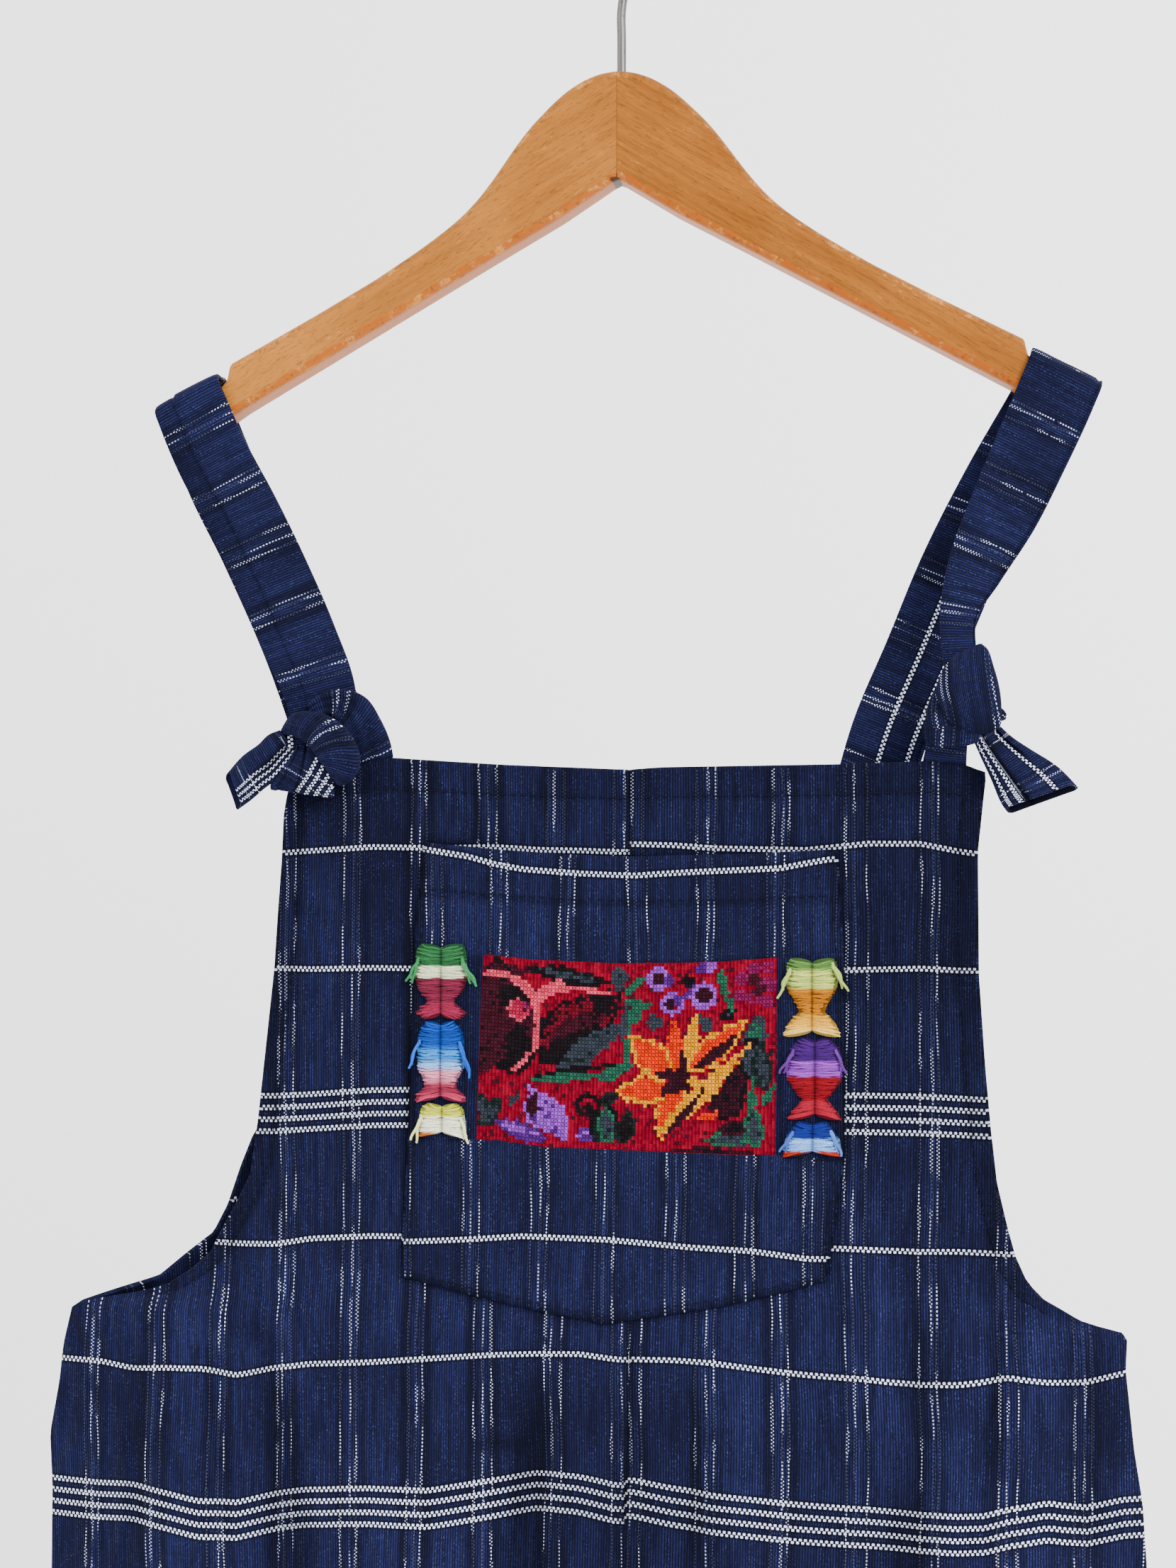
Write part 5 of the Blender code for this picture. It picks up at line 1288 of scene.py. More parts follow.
def figure_strands(name, seed):
    """Thick threads sewn from side to side: points, faces and tints.

    A strand runs from -1 to 1 across the figure's half width and rises over two ridges; it sags
    to the middle in a figure's upper half, and in its skirt the middle is the highest.
    """
    middle_x, profile, _ = FIGURES[name]
    rng = np.random.default_rng(seed)
    first, last = profile[0][0], profile[-1][0]
    count = int((last - first) / (1.2 * STRAND))
    drops = np.linspace(first + 0.3, last - 0.2, count) + rng.uniform(-0.16, 0.16, count)

    def each(low, high):
        """One chance number for every strand."""
        return rng.uniform(low, high, (count, 1))

    across = np.linspace(-1.0, 1.0, STRAND_STATIONS)[None, :]
    half = column(profile)(drops)[:, None] + each(-0.85, 0.45)
    place = ((drops - first) / (last - first))[:, None]
    sag = 1.5 * smooth_step((0.42 - place) / 0.5) - 2.0 * smooth_step((place - 0.70) / 0.3)
    drop = drops[:, None] + sag * (1.0 - np.abs(across) ** 1.4) + each(-0.25, 0.25) * across
    drop = drop + 0.16 * np.sin(across * each(3.0, 9.0) + each(0, 6.3))
    x = middle_x + half * across * (1.0 - 0.05 * np.abs(across))
    lift = ridge(across) * FIGURE_RELIEF * neck_lift(half) + each(-0.22, 0.20)
    paths = on_pocket(x, drop, POCKET_CLOTH / 2 + lift - STRAND)
    radii = np.broadcast_to(STRAND * (1.0 - 0.2 * np.abs(across) ** 6), x.shape)
    points, faces = tubes(paths, radii, STRAND_SIDES)
    tint = figure_colour(name, x, drop, np.broadcast_to(each(0, 1), x.shape))
    # Each strand is darker at the figure's middle, where it dips between the two ridges: painted
    # shade.
    tint[..., :3] *= (1.0 - 0.45 * np.exp(-(across / 0.07) ** 2))[..., None]
    return points, faces, np.repeat(tint.reshape(-1, 4), STRAND_SIDES, axis=0)


def figure_shade_pad(name):
    """A painted shade pad just under the strands, on the same ridges: points, faces and tints."""
    middle_x, profile, _ = FIGURES[name]
    first, last = profile[0][0], profile[-1][0]
    drop = np.linspace(first + 0.4, last - 0.4, 14)[:, None]
    across = np.linspace(-0.93, 0.93, 13)[None, :]
    half = column(profile)(drop)
    x = middle_x + half * across
    sag = np.interp(drop, (first, (first + last) / 2, last), (1.2, 0.0, -1.7))
    down = drop + sag * (1.0 - np.abs(across))
    lift = np.maximum(ridge(across) * FIGURE_RELIEF * neck_lift(half) - 0.75, 0.1)
    points, faces, rim = cloth_wall(on_pocket(x, down, 0.0), (0, -1, 0),
                                    POCKET_CLOTH / 2 + lift, 0.2)
    tint = figure_colour(name, x, down, 0.0 * x)
    # Painted shade: the pad has half the figure's colour.
    tint[..., :3] *= 0.5
    return points, faces, wall_values(tint, rim)


def stitched_figure(name, seed):
    """A raised figure: its strands and the painted shade pad under them as one piece."""
    strands, strand_faces, strand_tint = figure_strands(name, seed)
    pad, pad_faces, pad_shade_tint = figure_shade_pad(name)
    add_piece(name + "_strands", np.concatenate([strands, pad]),
              strand_faces + (pad_faces + len(strands)).tolist(), thread_finish,
              (name,),
              tint=np.concatenate([strand_tint, pad_shade_tint]))


for order, figure_name in enumerate(FIGURES):
    stitched_figure(figure_name, 11 + order)


TUFT_STATIONS = 13
TUFTS = (
    # figure, side, drop of the roots, threads, fall, lean, colour
    ("left_1", -1, 60.0, 3, 9.6, 1.8, (0.030, 0.230, 0.075)),
    ("left_1", 1, 60.0, 4, 9.6, 3.6, (0.034, 0.240, 0.080)),
    ("left_2", -1, 86.2, 2, 12.4, 3.2, (0.014, 0.120, 0.620)),
    ("left_2", 1, 86.6, 3, 12.8, 2.0, (0.010, 0.100, 0.560)),
    ("left_3", -1, 110.4, 2, 11.6, 2.6, (0.86, 0.86, 0.330)),
    ("left_3", 1, 111.4, 1, 10.6, 0.8, (0.86, 0.88, 0.400)),
    ("right_1", -1, 62.5, 3, 9.6, 2.4, (0.40, 0.54, 0.120)),
    ("right_1", 1, 60.5, 3, 9.8, 3.8, (0.40, 0.53, 0.110)),
    ("right_2", -1, 88.0, 3, 9.6, 3.0, (0.105, 0.026, 0.230)),
    ("right_2", 1, 88.0, 2, 9.6, 1.4, (0.130, 0.036, 0.280)),
    ("right_3", -1, 113.8, 2, 9.2, 3.0, (0.050, 0.125, 0.480)),
    ("right_3", 1, 113.4, 2, 9.2, 2.2, (0.095, 0.210, 0.600)),
)


def thread_tuft(figure, side, drop, threads, fall, lean, colour, seed):
    """Loose thread ends at a figure's side: out over the shoulder, then down.

    Along t from 0 to 1 a thread runs out by 1.9 sin(pi t / 2) + 0.45 lean t^1.5 + 0.8 fan t and a
    small wave, falls by 0.86 fall t^1.25 and comes forward by a bow; it thins to its end.
    """
    rng = np.random.default_rng(seed)
    middle_x, profile, _ = FIGURES["randa_" + figure]
    half = float(column(profile)(drop))
    t = np.linspace(0.0, 1.0, TUFT_STATIONS)[None, :]
    which = np.arange(threads)[:, None]
    fan = (which - (threads - 1) / 2) * 1.25 + rng.uniform(-0.3, 0.3, (threads, 1))
    reach = fall * (1.0 - 0.28 * rng.uniform(0, 1, (threads, 1)))
    wave = 0.55 * np.sin(t * (5.5 + which) + which * 1.9 + seed) * t
    outward = (half - 1.4 + 1.9 * np.sin(math.pi * t / 2) + 0.45 * lean * t ** 1.5
               + 0.8 * fan * t + wave)
    at_drop = drop - 0.4 + 0.675 * which + 0.86 * reach * t ** 1.25
    out = 1.9 - 0.9 * t + 0.9 * np.sin(math.pi * t) + 0.12 * which
    paths = on_pocket(middle_x + side * outward, at_drop, POCKET_CLOTH / 2 + out)
    radii = 0.48 * (1.0 - 0.25 * t ** 4) + 0.0 * which
    points, faces = tubes(paths, radii, STRAND_SIDES)
    tone = 0.85 + 0.25 * rng.uniform(0, 1, (threads, 1))
    tint = np.concatenate([np.array(colour) * tone, np.ones((threads, 1))], axis=1)
    outer_side = -1 if figure.startswith("left") else 1
    node = "tuft_" + figure + ("_outer" if side == outer_side else "_inner")
    add_piece(node + "_threads", points, faces, thread_finish, (node,),
              tint=np.repeat(tint, TUFT_STATIONS * STRAND_SIDES, axis=0))


for order, tuft_row in enumerate(TUFTS):
    thread_tuft(*tuft_row, seed=40 + order)


# ---------------------------------------------------------------- straps, tabs and knots

# Every route's rows are x, y and drop of the middle, the half width and half thickness, and the
# turn of the width in degrees
STRAP_LEFT_FRONT = (
    (-142.8, -0.2, -125.1, 11.6, 1.1, 26.5), (-142.8, -5.6, -125.0, 11.7, 1.1, 26.5),
    (-142.3, -8.5, -123.2, 11.8, 1.1, 26.5), (-140.4, -8.8, -118.6, 12.0, 1.1, 26.5),
    (-134.3, -8.8, -104.6, 12.2, 1.1, 25.0), (-123.6, -9.2, -84.7, 12.3, 1.1, 24.0),
    (-113.4, -9.8, -64.0, 12.4, 1.1, 22.0), (-104.3, -10.2, -43.2, 12.5, 1.1, 18.0),
    (-97.6, -10.3, -26.5, 11.8, 1.0, 14.0), (-95.6, -9.9, -15.0, 11.0, 1.0, 8.0),
    (-95.2, -9.8, -3.5, 10.4, 1.0, 6.0),
)
STRAP_LEFT_BACK = (
    (-142.8, 5.6, -125.0, 11.7, 1.1, 26.5),
    (-142.6, 8.5, -123.2, 11.8, 1.1, 26.5), (-142.0, 8.8, -118.6, 12.0, 1.1, 26.5),
    (-136.2, 8.7, -102.0, 12.3, 1.1, 25.0), (-122.4, 8.2, -74.0, 12.4, 1.1, 24.5),
    (-107.0, 7.2, -40.0, 12.5, 1.1, 24.0), (-95.0, 6.4, -6.0, 12.5, 1.1, 21.0),
    (-86.5, 6.0, 20.0, 12.5, 1.1, 15.0), (-81.0, 6.2, 44.0, 12.5, 1.1, 10.0),
)
STRAP_RIGHT_FRONT = (
    (142.2, -0.2, -128.8, 12.3, 1.1, -28.5), (142.2, -5.6, -128.7, 12.3, 1.1, -28.5),
    (141.8, -8.5, -126.9, 12.4, 1.1, -28.5), (139.6, -8.8, -121.4, 12.4, 1.1, -28.0),
    (130.4, -9.0, -100.4, 12.0, 1.2, -26.0), (122.0, -9.6, -81.9, 11.2, 1.3, -26.0),
    (113.0, -10.4, -63.4, 8.8, 1.6, -22.0), (108.0, -11.0, -48.7, 5.8, 2.0, -8.0),
    (108.4, -11.2, -37.4, 5.3, 2.1, 4.0), (109.0, -12.4, -31.0, 5.0, 2.0, 4.0),
)
STRAP_RIGHT_BACK = (
    (142.2, 5.6, -128.7, 12.3, 1.1, -28.5),
    (141.4, 8.5, -126.9, 12.4, 1.1, -28.5), (138.4, 8.8, -121.4, 12.4, 1.1, -27.0),
    (122.0, 8.5, -92.5, 12.5, 1.1, -24.6), (108.6, 7.9, -66.0, 12.5, 1.1, -24.6),
    (97.0, 7.2, -38.0, 12.5, 1.1, -24.6), (85.6, 6.4, -10.4, 12.5, 1.1, -22.0),
    (79.0, 6.0, 16.0, 12.5, 1.1, -15.0), (75.5, 6.2, 44.0, 12.5, 1.1, -8.0),
)


def band_piece(name, rows, count, sides, power, weave_of, replaces=(),
               relief=None, mouth=0.0, slant=0.0, depth=1.0):
    """A swept band of cloth; weave_of gives u and v from a length, a place and a distance across.

    depth multiplies its shade, above 1 as painted light; where the relief is pressed in the colour
    is darker, by 0.4 for every millimetre, as painted shade in the folds.
    """
    points, faces, length, place, wide = swept_band(rows, count, sides, power, relief, mouth,
                                                    slant)
    u, v = weave_of(length, place, wide)
    # Painted shade where the relief is pressed in.
    pressed = 0.0 * length if relief is None else relief(length, place)
    add_piece(name, points, faces, cloth, replaces, np.stack([u, v], axis=1),
              shade=depth * (1.0 + np.clip(pressed * 0.4, -0.6, 0.0)))


def fold_step(at, size, width=0.06):
    """Relief of a strap's folded edge: a lengthwise line is pressed in and one side lies lower."""
    return lambda length, across: (-size * smooth_step((at - across) / width)
                                   - 0.8 * np.exp(-((across - at) / 0.045) ** 2)
                                   + 0.25 * np.sin(length / 17.0 + across * 1.5))


def strap_right_weave(s, a, w):
    """Two white rows down the back part, and none on the front."""
    row = 5.4 - 1.2 * np.abs(w - 3.6) - 20.0 * smooth_step((134.0 - s) / 10.0)
    return s + 3.0, WEFT_FIRST + row


band_piece("strap_left_cloth", STRAP_LEFT_FRONT[::-1] + STRAP_LEFT_BACK, 190, 64, 6.0,
           lambda s, a, w: (s - 8.0, 84.0 + w), replaces=("strap_left_front", "strap_left_back"),
           relief=fold_step(-0.42, 0.45))
# The right strap is painted a fifth lighter all over by its depth of 1.2: painted light.
band_piece("strap_right_cloth", STRAP_RIGHT_FRONT[::-1] + STRAP_RIGHT_BACK, 190, 64, 6.0,
           strap_right_weave, replaces=("strap_right_front", "strap_right_back"),
           relief=fold_step(0.9, 0.3), depth=1.2)


TAB_LEFT = (
    (-83.6, -6.9, 4.0, 10.0, 0.9, 4.0), (-83.6, -7.0, 0.0, 10.0, 0.9, 4.0),
    (-83.4, -8.8, -4.0, 9.9, 1.0, 6.0), (-82.8, -11.6, -8.6, 8.8, 1.2, 12.0),
    (-83.2, -13.2, -14.2, 7.0, 1.5, 24.0), (-86.4, -13.8, -20.4, 6.0, 1.7, 46.0),
    (-91.4, -14.4, -22.8, 4.6, 1.9, 72.0), (-96.4, -15.0, -22.0, 3.4, 1.7, 92.0),
    (-99.8, -15.2, -20.0, 2.2, 1.2, 104.0),
)
HEART_LEFT = (
    (-99.5, -14.4, -18.6, 4.0, 1.2, 10.0), (-99.4, -15.2, -14.6, 8.0, 2.4, 8.0),
    (-98.6, -15.8, -9.0, 9.6, 3.0, 4.0), (-98.6, -15.6, -3.0, 9.8, 2.8, 0.0),
    (-99.4, -14.8, 2.4, 8.0, 1.8, 0.0),
)
DOME_LEFT = (
    (-108.0, -16.4, -13.6, 1.6, 1.4, 84.0), (-104.6, -18.4, -15.4, 3.4, 2.6, 88.0),
    (-99.4, -20.0, -14.9, 5.0, 3.8, 78.0), (-93.8, -20.9, -12.0, 6.3, 4.5, 55.0),
    (-89.8, -21.0, -7.4, 6.6, 4.6, 28.0), (-88.0, -20.2, -2.6, 5.8, 4.2, 6.0),
    (-88.6, -18.6, 1.0, 4.0, 3.0, -12.0), (-89.8, -17.4, 3.4, 1.8, 1.4, -22.0),
)
FAN_LEFT = (
    (-99.0, -17.6, -9.0, 4.6, 1.6, 8.0), (-99.2, -18.8, -5.4, 6.0, 2.0, 3.0),
    (-99.8, -19.2, -1.4, 7.8, 1.9, -3.0), (-100.6, -18.8, 2.4, 9.4, 1.6, -6.0),
    (-101.6, -18.0, 5.4, 10.6, 1.1, -7.0), (-101.8, -17.4, 6.6, 10.4, 0.7, -7.0),
)
TAIL_LEFT = (
    (-106.4, -16.6, -10.2, 4.6, 1.8, -52.0), (-109.4, -17.3, -7.6, 5.8, 2.6, -56.0),
    (-113.0, -17.9, -3.6, 6.3, 3.0, -60.0), (-117.4, -17.9, -0.4, 6.4, 2.9, -60.0),
    (-121.6, -17.8, 3.4, 6.3, 2.7, -64.0), (-125.6, -17.7, 6.9, 6.0, 2.4, -70.0),
)
TAB_RIGHT = (
    (103.6, -6.9, 4.0, 7.2, 0.9, -4.0), (103.6, -7.0, 0.0, 7.1, 0.9, -4.0),
    (103.8, -8.8, -3.2, 6.9, 1.0, -5.0), (104.2, -11.8, -6.6, 6.6, 1.2, -8.0),
    (104.6, -13.0, -10.4, 6.4, 1.3, -8.0),
)
CHEEK_RIGHT = (
    (104.0, -14.2, -29.0, 2.4, 1.0, 14.0), (103.0, -15.0, -24.0, 4.0, 1.9, 12.0),
    (102.6, -15.3, -18.6, 4.9, 2.3, 6.0), (103.6, -15.2, -13.2, 5.3, 2.2, 0.0),
    (105.0, -14.6, -9.6, 4.6, 1.2, 0.0),
)
WRAP_RIGHT = (
    (97.4, -14.6, -13.0, 2.6, 1.2, 92.0), (99.8, -15.4, -12.4, 3.9, 1.7, 88.0),
    (104.4, -15.9, -11.9, 4.2, 2.0, 86.0), (109.6, -15.8, -11.9, 3.8, 2.0, 86.0),
    (114.6, -15.2, -12.4, 3.0, 1.6, 84.0),
)
BULB_RIGHT = (
    (110.8, -14.6, -38.4, 5.0, 1.3, 24.0), (110.2, -15.8, -35.6, 7.6, 2.7, 24.0),
    (110.2, -16.6, -30.6, 9.2, 4.2, 16.0), (110.9, -17.0, -24.6, 10.1, 5.0, 4.0),
    (112.2, -17.0, -19.0, 9.2, 4.6, -4.0), (113.0, -16.2, -15.0, 7.8, 3.2, -4.0),
    (112.8, -15.2, -12.6, 5.4, 1.6, -2.0),
)
NUB_RIGHT = (
    (117.0, -15.0, -19.4, 1.4, 1.2, 74.0), (119.6, -15.6, -18.6, 2.0, 1.7, 74.0),
    (121.6, -15.6, -18.0, 1.9, 1.5, 80.0), (122.8, -15.4, -17.6, 1.0, 0.8, 84.0),
)
TAIL_RIGHT = (
    (115.6, -14.3, -14.0, 4.4, 1.6, 40.0), (119.2, -14.6, -8.8, 5.6, 2.3, 35.0),
    (124.4, -14.9, -2.6, 7.8, 2.7, 36.0), (129.8, -14.9, 3.4, 10.4, 2.6, 31.0),
    (134.8, -14.7, 9.2, 11.6, 2.3, 20.0),
)


def pleats(*ats, depth=0.8, width=0.12):
    """Relief of several folds side by side."""
    return lambda length, across: sum(
        -depth * np.exp(-((across - at) / width) ** 2) for at in ats)


def fan_weave(s, a, w):
    """Four white rows that curve from the fan's upper right to its lower left."""
    return (s - 0.44 * w) * 1.3 + 8.0, WEFT_FIRST + WEFT_BAND + (w + 0.44 * s - 5.4) * 1.2


def tail_left_weave(s, a, w):
    """White rows along the lower side of the rolled end, and none inside its mouth."""
    rows = np.interp(a, (-1.0, 0.05, 0.95), (-16.0, -1.4, 9.6))
    return s * 1.1 + 1.0, WEFT_FIRST + np.where(s > 30.0, 60.0, WEFT_BAND + rows)


def tail_right_weave(s, a, w):
    """Two white rows near the left edge and one right of the fold, and none inside the mouth."""
    rows = np.interp(a, (-1.0, -0.82, -0.5, -0.38, -0.2, 0.48, 1.0),
                     (75.2, 79.1, 82.9, 84.6, 118.0, 126.6, 134.0))
    return s * 1.05 - 3.0, WEFT_FIRST + np.where(s > 36.0, 60.0, rows)


def tail_left_relief(s, a):
    """One deep lengthwise fold, which runs out towards the mouth."""
    return -2.1 * np.exp(-((a - 0.18) / 0.2) ** 2) * smooth_step((19.0 - s) / 12.0)


def tail_right_relief(s, a):
    """A fold that deepens along the end, a shorter one beside it, and a soft swell between."""
    return (-(0.8 + 0.05 * s) * np.exp(-((a + 0.28) / 0.07) ** 2)
            - 1.2 * np.exp(-((a - 0.62) / 0.06) ** 2) * smooth_step((20.0 - s) / 9.0)
            + 0.5 * np.exp(-((a - 0.1) / 0.3) ** 2))


band_piece("tab_left_cloth", TAB_LEFT, 90, 36, 4.0,
           lambda s, a, w: (s + 13.6 - 0.3 * w, 92.0 + w), replaces=("tab_left",),
           relief=pleats(-0.35, 0.3, depth=0.6, width=0.16))
band_piece("knot_left_heart", HEART_LEFT, 40, 32, 2.6,
           lambda s, a, w: (s + 12.0, 70.0 + w), replaces=("knot_left",),
           relief=pleats(-0.6, -0.3, 0.1, depth=0.9))
band_piece("knot_left_dome", DOME_LEFT, 90, 40, 2.3,
           lambda s, a, w: (s - 16.6 - 0.35 * w, 84.0 + 1.3 * w), replaces=("knot_left",),
           relief=pleats(0.55, -0.5, depth=0.35, width=0.16))
band_piece("knot_left_fan", FAN_LEFT, 60, 48, 3.2, fan_weave, replaces=("knot_left",),
           relief=pleats(-0.72, -0.5, -0.18, depth=1.1, width=0.07))
band_piece("tail_left_cloth", TAIL_LEFT, 80, 40, 2.8, tail_left_weave, replaces=("tail_left",),
           relief=tail_left_relief, mouth=5.0, slant=3.2)
band_piece("tab_right_cloth", TAB_RIGHT, 40, 28, 4.0,
           lambda s, a, w: (s + 6.0, 84.0 + w), replaces=("tab_right",))
band_piece("knot_right_wrap", WRAP_RIGHT, 50, 28, 2.6,
           lambda s, a, w: (s - 6.4, 84.0 + w), replaces=("knot_right",),
           relief=pleats(0.2, -0.45, depth=0.4, width=0.14))
band_piece("knot_right_bulb", BULB_RIGHT, 90, 44, 2.4,
           lambda s, a, w: ((w - 8.4) * 1.35, 68.0 + s), replaces=("knot_right",),
           relief=pleats(-0.35, 0.1, depth=0.2, width=0.25))
band_piece("knot_right_cheek", CHEEK_RIGHT, 50, 28, 2.6,
           lambda s, a, w: ((w + 1.2) * 1.3, 68.0 + s), replaces=("knot_right",),
           relief=pleats(-0.5, depth=0.3, width=0.14))
band_piece("knot_right_nub", NUB_RIGHT, 30, 20, 2.2,
           lambda s, a, w: (w * 1.6, 84.0 + s), replaces=("knot_right",))
band_piece("tail_right_cloth", TAIL_RIGHT, 90, 52, 3.4, tail_right_weave, replaces=("tail_right",),
           relief=tail_right_relief, mouth=4.0, slant=2.6)


# ---------------------------------------------------------------- hanger and hook

# Half of the hanger's outline: x from its middle and distance below its top
HANGER_TOP_HALF = (
    (0.0, 0.0), (4.0, 0.3), (8.0, 1.3), (14.0, 4.2), (19.5, 8.2), (24.0, 12.6), (28.5, 17.0),
    (33.0, 22.6), (38.0, 29.6), (43.0, 36.4), (48.5, 42.6), (55.0, 48.2), (65.0, 55.2),
    (80.0, 64.6), (100.0, 75.6), (128.5, 90.6), (129.6, 95.6), (132.4, 98.8), (136.0, 101.0),
)
HANGER_LOWER_HALF = ((0.0, 34.6), (19.0, 46.6), (40.0, 58.2), (70.0, 75.0), (124.6, 105.6))
TIP_CENTRE = (139.5, 108.2)
TIP_RADIUS = 6.0
APEX_Z = -70.0
HANGER_THICKNESS = 14.5
HANGER_TILT = 0.8
EDGE_ROUND = 2.2
WIRE_RADIUS = 1.5
HOOK_RING = 19.5


def tip(first, last, count):
    """The bar's round end: x and distance below its top, from one direction to another."""
    x, below = TIP_CENTRE
    return tuple((x + TIP_RADIUS * math.cos(a), below - TIP_RADIUS * math.sin(a))
                 for a in np.radians(np.linspace(first, last, count)))


def hanger():
    """The bar as rounded cross-sections from tip to tip, with the V below its middle.

    Every section at x is a rectangle from the upper to the lower line with rounded corners:
    four straight sides and four quarter circles. The lines are tilted together at the end.
    """
    upper = HANGER_TOP_HALF + tip(62.0, 0.0, 9)
    lower = HANGER_LOWER_HALF + tip(-118.0, 0.0, 15)
    half = np.concatenate([np.linspace(0.0, 4.0, 9)[:-1], np.linspace(4.0, 126.0, 90)[:-1],
                           np.linspace(126.0, 137.0, 22)[:-1],
                           TIP_CENTRE[0] + TIP_RADIUS * np.sin(np.linspace(-0.42, 1.55, 16))])
    x = np.concatenate([-half[:0:-1], half])[:, None]
    top = -np.where(np.abs(x) < 120.0, eased(upper, 3.0)(np.abs(x)), column(upper)(np.abs(x)))
    bottom = -column(lower)(np.abs(x)) - 0.35 * np.exp(-(x / 1.2) ** 2)
    tall = np.maximum(top - bottom, 0.4)
    middle, h = (top + bottom) / 2, tall / 2
    r = np.minimum(EDGE_ROUND, h * 0.98)
    thick = HANGER_THICKNESS / 2
    core, inner = thick - r, h - r
    bend = np.linspace(0.0, math.pi / 2, 6)[None, :]
    s, c = np.sin(bend), np.cos(bend)
    flat = np.linspace(1.0, -1.0, 13)[None, 1:-1]
    narrow = np.linspace(1.0, -1.0, 5)[None, 1:-1]
    stretches = (
        # y, z, nearness to a rounded edge, how far it faces down
        (-core - r * s, middle + inner + r * c, 1.0, 0.0 * s),
        (-thick, middle + inner * flat, 0.0, 0.0 * flat),
        (-core - r * c, middle - inner - r * s, 1.0, s),
        (-core * narrow, middle - h, 0.25, 1.0 + 0.0 * narrow),
        (core + r * s, middle - inner - r * c, 1.0, c),
        (thick, middle - inner * flat, 0.0, 0.0 * flat),
        (core + r * c, middle + inner + r * s, 1.0, 0.0 * s),
        (core * narrow, middle + h, 0.25, 0.0 * narrow),
    )
    y, z, edge, down = (
        np.concatenate([np.broadcast_to(row[k], (len(x), row[3].shape[1])) for row in stretches],
                       axis=1) for k in range(4))
    wide = np.broadcast_to(x, y.shape)
    tilt = math.radians(HANGER_TILT)
    points = np.stack([HANGER_MIDDLE_X + wide * math.cos(tilt) - z * math.sin(tilt), y,
                       APEX_Z + wide * math.sin(tilt) + z * math.cos(tilt)], axis=-1)
    above = (z - bottom) / TINT_HEIGHT
    tint = np.stack([above, edge, down, np.ones_like(above)], axis=-1)
    add_piece("hanger_wood", points.reshape(-1, 3), capped_faces(*y.shape),
              beech("varnished beech"), ("hanger",), tint=tint.reshape(-1, 4),
              sharp=60.0)


def hook():
    """The bent wire: straight out of the wood, a small kink, then two thirds of a turn."""
    centre = WIRE_RADIUS - HOOK_RING
    route = [(0.0, APEX_Z - 22.0), (0.0, APEX_Z + 4.0), (0.0, -58.0), (0.0, -49.0), (0.6, -45.0),
             (3.0, -40.6), (7.4, -36.6)]
    route += [(HOOK_RING * math.cos(a), centre + HOOK_RING * math.sin(a))
              for a in np.radians(np.linspace(-48.0, 195.0, 60))]
    route.append((-HOOK_RING - 2.0, centre - 9.5))
    path, length = smooth_rows([(x, 0.0, z) for x, z in route], 240)
    radius = WIRE_RADIUS * (1.0 - 0.35 * smooth_step((length - length[-1] + 1.4) / 1.4) ** 2)
    points, faces = tubes(path[None], radius[None], sides=16)
    add_piece("hook_wire", points, faces, dull_wire("dull steel wire"), ("hook",))


hanger()
hook()


# ---------------------------------------------------------------- sewing

STITCH = 2.3
STITCH_GAP = 0.9
HEM_THICKNESS = 0.5
SEWING_RADIUS = 0.19
SEWING_THREAD = (0.0040, 0.0045, 0.0120)


def stitch_row(name, path):
    """A row of machine stitches: each is a thread that dips into the cloth at both ends.

    The path is measured along, cut into stitches, and every stitch bows out as half a sine.
    """
    step = np.concatenate([[0.0], np.cumsum(np.linalg.norm(np.diff(path, axis=0), axis=1))])
    count = int(step[-1] / (STITCH + STITCH_GAP))
    start = (np.arange(count) * (STITCH + STITCH_GAP))[:, None]
    t = np.linspace(0.0, 1.0, 6)[None, :]
    at = start + STITCH * t
    places = np.stack([np.interp(at, step, path[:, k]) for k in range(3)], axis=-1)
    places[..., 1] += np.sign(places[..., 1].mean()) * (0.30 * np.sin(math.pi * t) - 0.12)
    radii = np.broadcast_to(SEWING_RADIUS * (0.55 + 0.45 * np.sin(math.pi * t)), at.shape)
    points, faces = tubes(places, radii, sides=5)
    tint = np.broadcast_to(np.array([*SEWING_THREAD, 1.0]), (len(points), 4))
    add_piece(name, points, faces, thread_finish, tint=tint)


def on_panel(side, face, inset, drop):
    """Points on a body panel's outer face, a distance in from its outer edge."""
    edge = np.abs(EDGES[(side, face)](drop) - inner_x(side, drop))
    points = panel_surface(side, face, 1.0 - inset / edge, drop)
    points[..., 1] += face * (CLOTH / 2 + HEM_THICKNESS)
    return points


def across_panel(side, face, drop):
    """Points across a body panel's outer face from near its inner edge to near its outer one."""
    points = panel_surface(side, face, np.linspace(0.01, 0.985, 90), drop + np.zeros(90))
    points[..., 1] += face * (CLOTH / 2 + HEM_THICKNESS)
    return points


def body_sewing():
    """Hem rows along the top, the armhole and the leg of every body panel."""
    for name, (side, face, _) in PANELS.items():
        top = 0.0 if face < 0 else BACK_TOP_DROP
        armhole = np.linspace(top + 9.0, 173.0, 160)
        stitch_row(name + "_top_hem", across_panel(side, face, top + 8.2))
        stitch_row(name + "_armhole_hem", on_panel(side, face, 5.0, armhole))
        stitch_row(name + "_leg_hem", across_panel(side, face, HEM_DROP - 19.0))


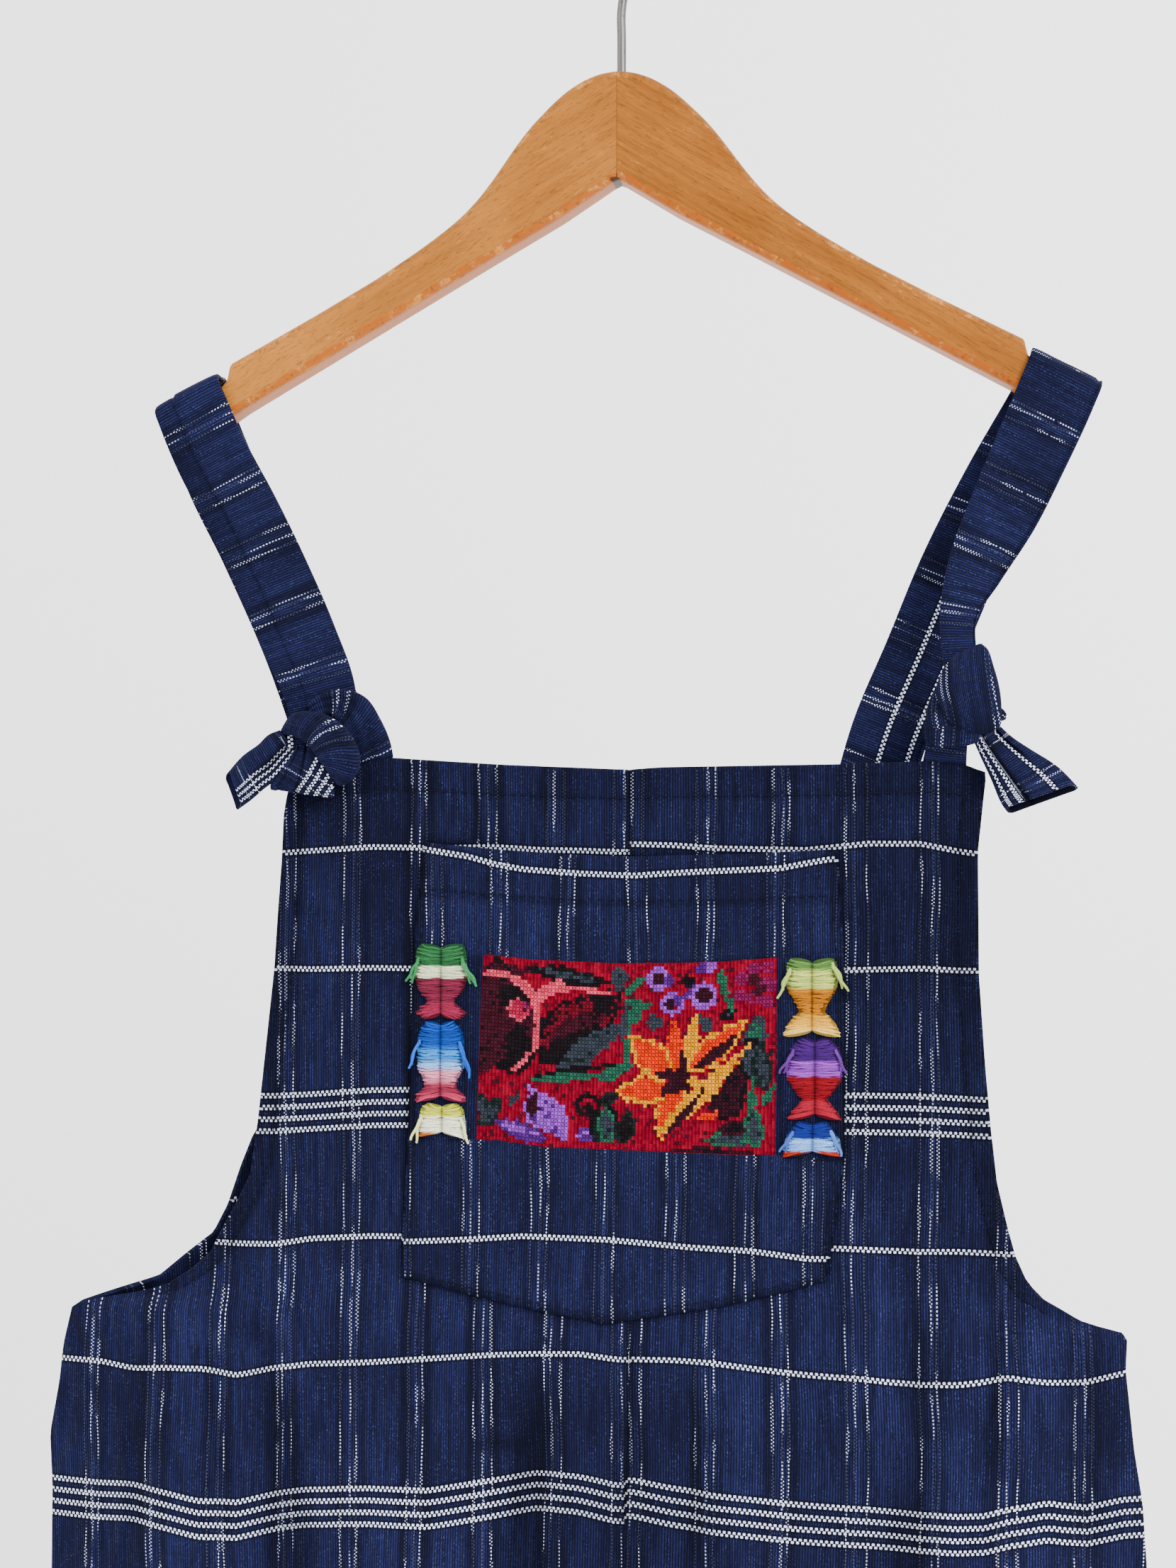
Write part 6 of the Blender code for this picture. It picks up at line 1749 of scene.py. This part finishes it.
def pocket_sewing():
    """The rows that hold the pocket's sides and point, and its mouth's hem."""
    down = np.linspace(30.0, 160.0, 120)
    wide = np.linspace(-66.5, 64.0, 120)
    mouth = np.linspace(-60.5, 67.5, 120)
    out = POCKET_CLOTH / 2
    stitch_row("pocket_left_sewing", on_pocket(pocket_left(down) + 1.8, down, out))
    stitch_row("pocket_right_sewing", on_pocket(pocket_right(down) - 1.8, down, out))
    stitch_row("pocket_point_sewing", on_pocket(wide, pocket_bottom(wide) - 1.9, out))
    stitch_row("pocket_hem_sewing", on_pocket(mouth, pocket_top(mouth) + 13.2, out + 0.4))


body_sewing()
pocket_sewing()


# ---------------------------------------------------------------- floor, light and camera

FLOOR_Z = -1.30


def floor_disc():
    """A round floor well below the leg hems."""
    mesh = bpy.data.meshes.new("floor")
    disc = bmesh.new()
    bmesh.ops.create_circle(disc, cap_ends=True, segments=96, radius=1.5)
    bmesh.ops.translate(disc, verts=disc.verts, vec=(0.0, 0.0, FLOOR_Z))
    disc.to_mesh(mesh)
    disc.free()
    mesh.materials.append(plain_floor("pale floor"))
    obj = bpy.data.objects.new("floor", mesh)
    bpy.context.scene.collection.objects.link(obj)


def soft_light(name, place, aim, size, watts, colour=(1.0, 1.0, 1.0)):
    """A square area light that looks at a point."""
    lamp = bpy.data.lights.new(name, "AREA")
    lamp.shape = "SQUARE"
    lamp.size = size
    lamp.energy = watts
    lamp.color = colour
    obj = bpy.data.objects.new(name, lamp)
    obj.location = place
    away = np.array(place) - np.array(aim)
    obj.rotation_euler = (math.atan2(math.hypot(away[0], away[1]), away[2]), 0.0,
                          math.atan2(away[0], -away[1]))
    bpy.context.scene.collection.objects.link(obj)


floor_disc()
soft_light("window", (1.3, -1.5, 0.75), (0.0, 0.0, -0.38), 0.9, 62.0, (1.0, 0.985, 0.97))
soft_light("room", (-1.6, -1.3, 0.1), (0.0, 0.0, -0.4), 1.4, 16.0)
soft_light("behind", (0.3, 1.8, 0.5), (0.0, 0.0, -0.5), 1.6, 30.0)

# A pale wall behind, brighter to the right and above, and a dimmer room in front
world = bpy.data.worlds.new("pale wall")
world.use_nodes = True
tree = world.node_tree
toward = add_node(tree, "SeparateXYZ", [(0, add_node(tree, "TexCoord").outputs["Generated"])])
side, ahead, up = (Term(tree, out) for out in toward.outputs)
wall = side.between(-0.42, 0.28) * 0.62 + up.between(-0.45, 0.2) * 0.5 + 2.32
room = up.between(-0.6, 0.5) * 0.7 + 1.35
glow = wall * ahead.between(-0.3, 0.5) + room * ahead.between(0.5, -0.3)
background = tree.nodes["Background"]
background.inputs["Color"].default_value = (0.985, 0.985, 1.0, 1.0)
tree.links.new(glow.socket, background.inputs["Strength"])
bpy.context.scene.world = world

camera = bpy.data.cameras.new("camera")
camera.lens = 63.68
camera.sensor_width = 36.0
camera.clip_start = 0.01
camera_object = bpy.data.objects.new("camera", camera)
camera_object.location = (0.0910, -0.8954, -0.300)
camera_object.rotation_euler = (math.radians(90.0), 0.0, math.radians(6.5))
bpy.context.scene.collection.objects.link(camera_object)
bpy.context.scene.camera = camera_object
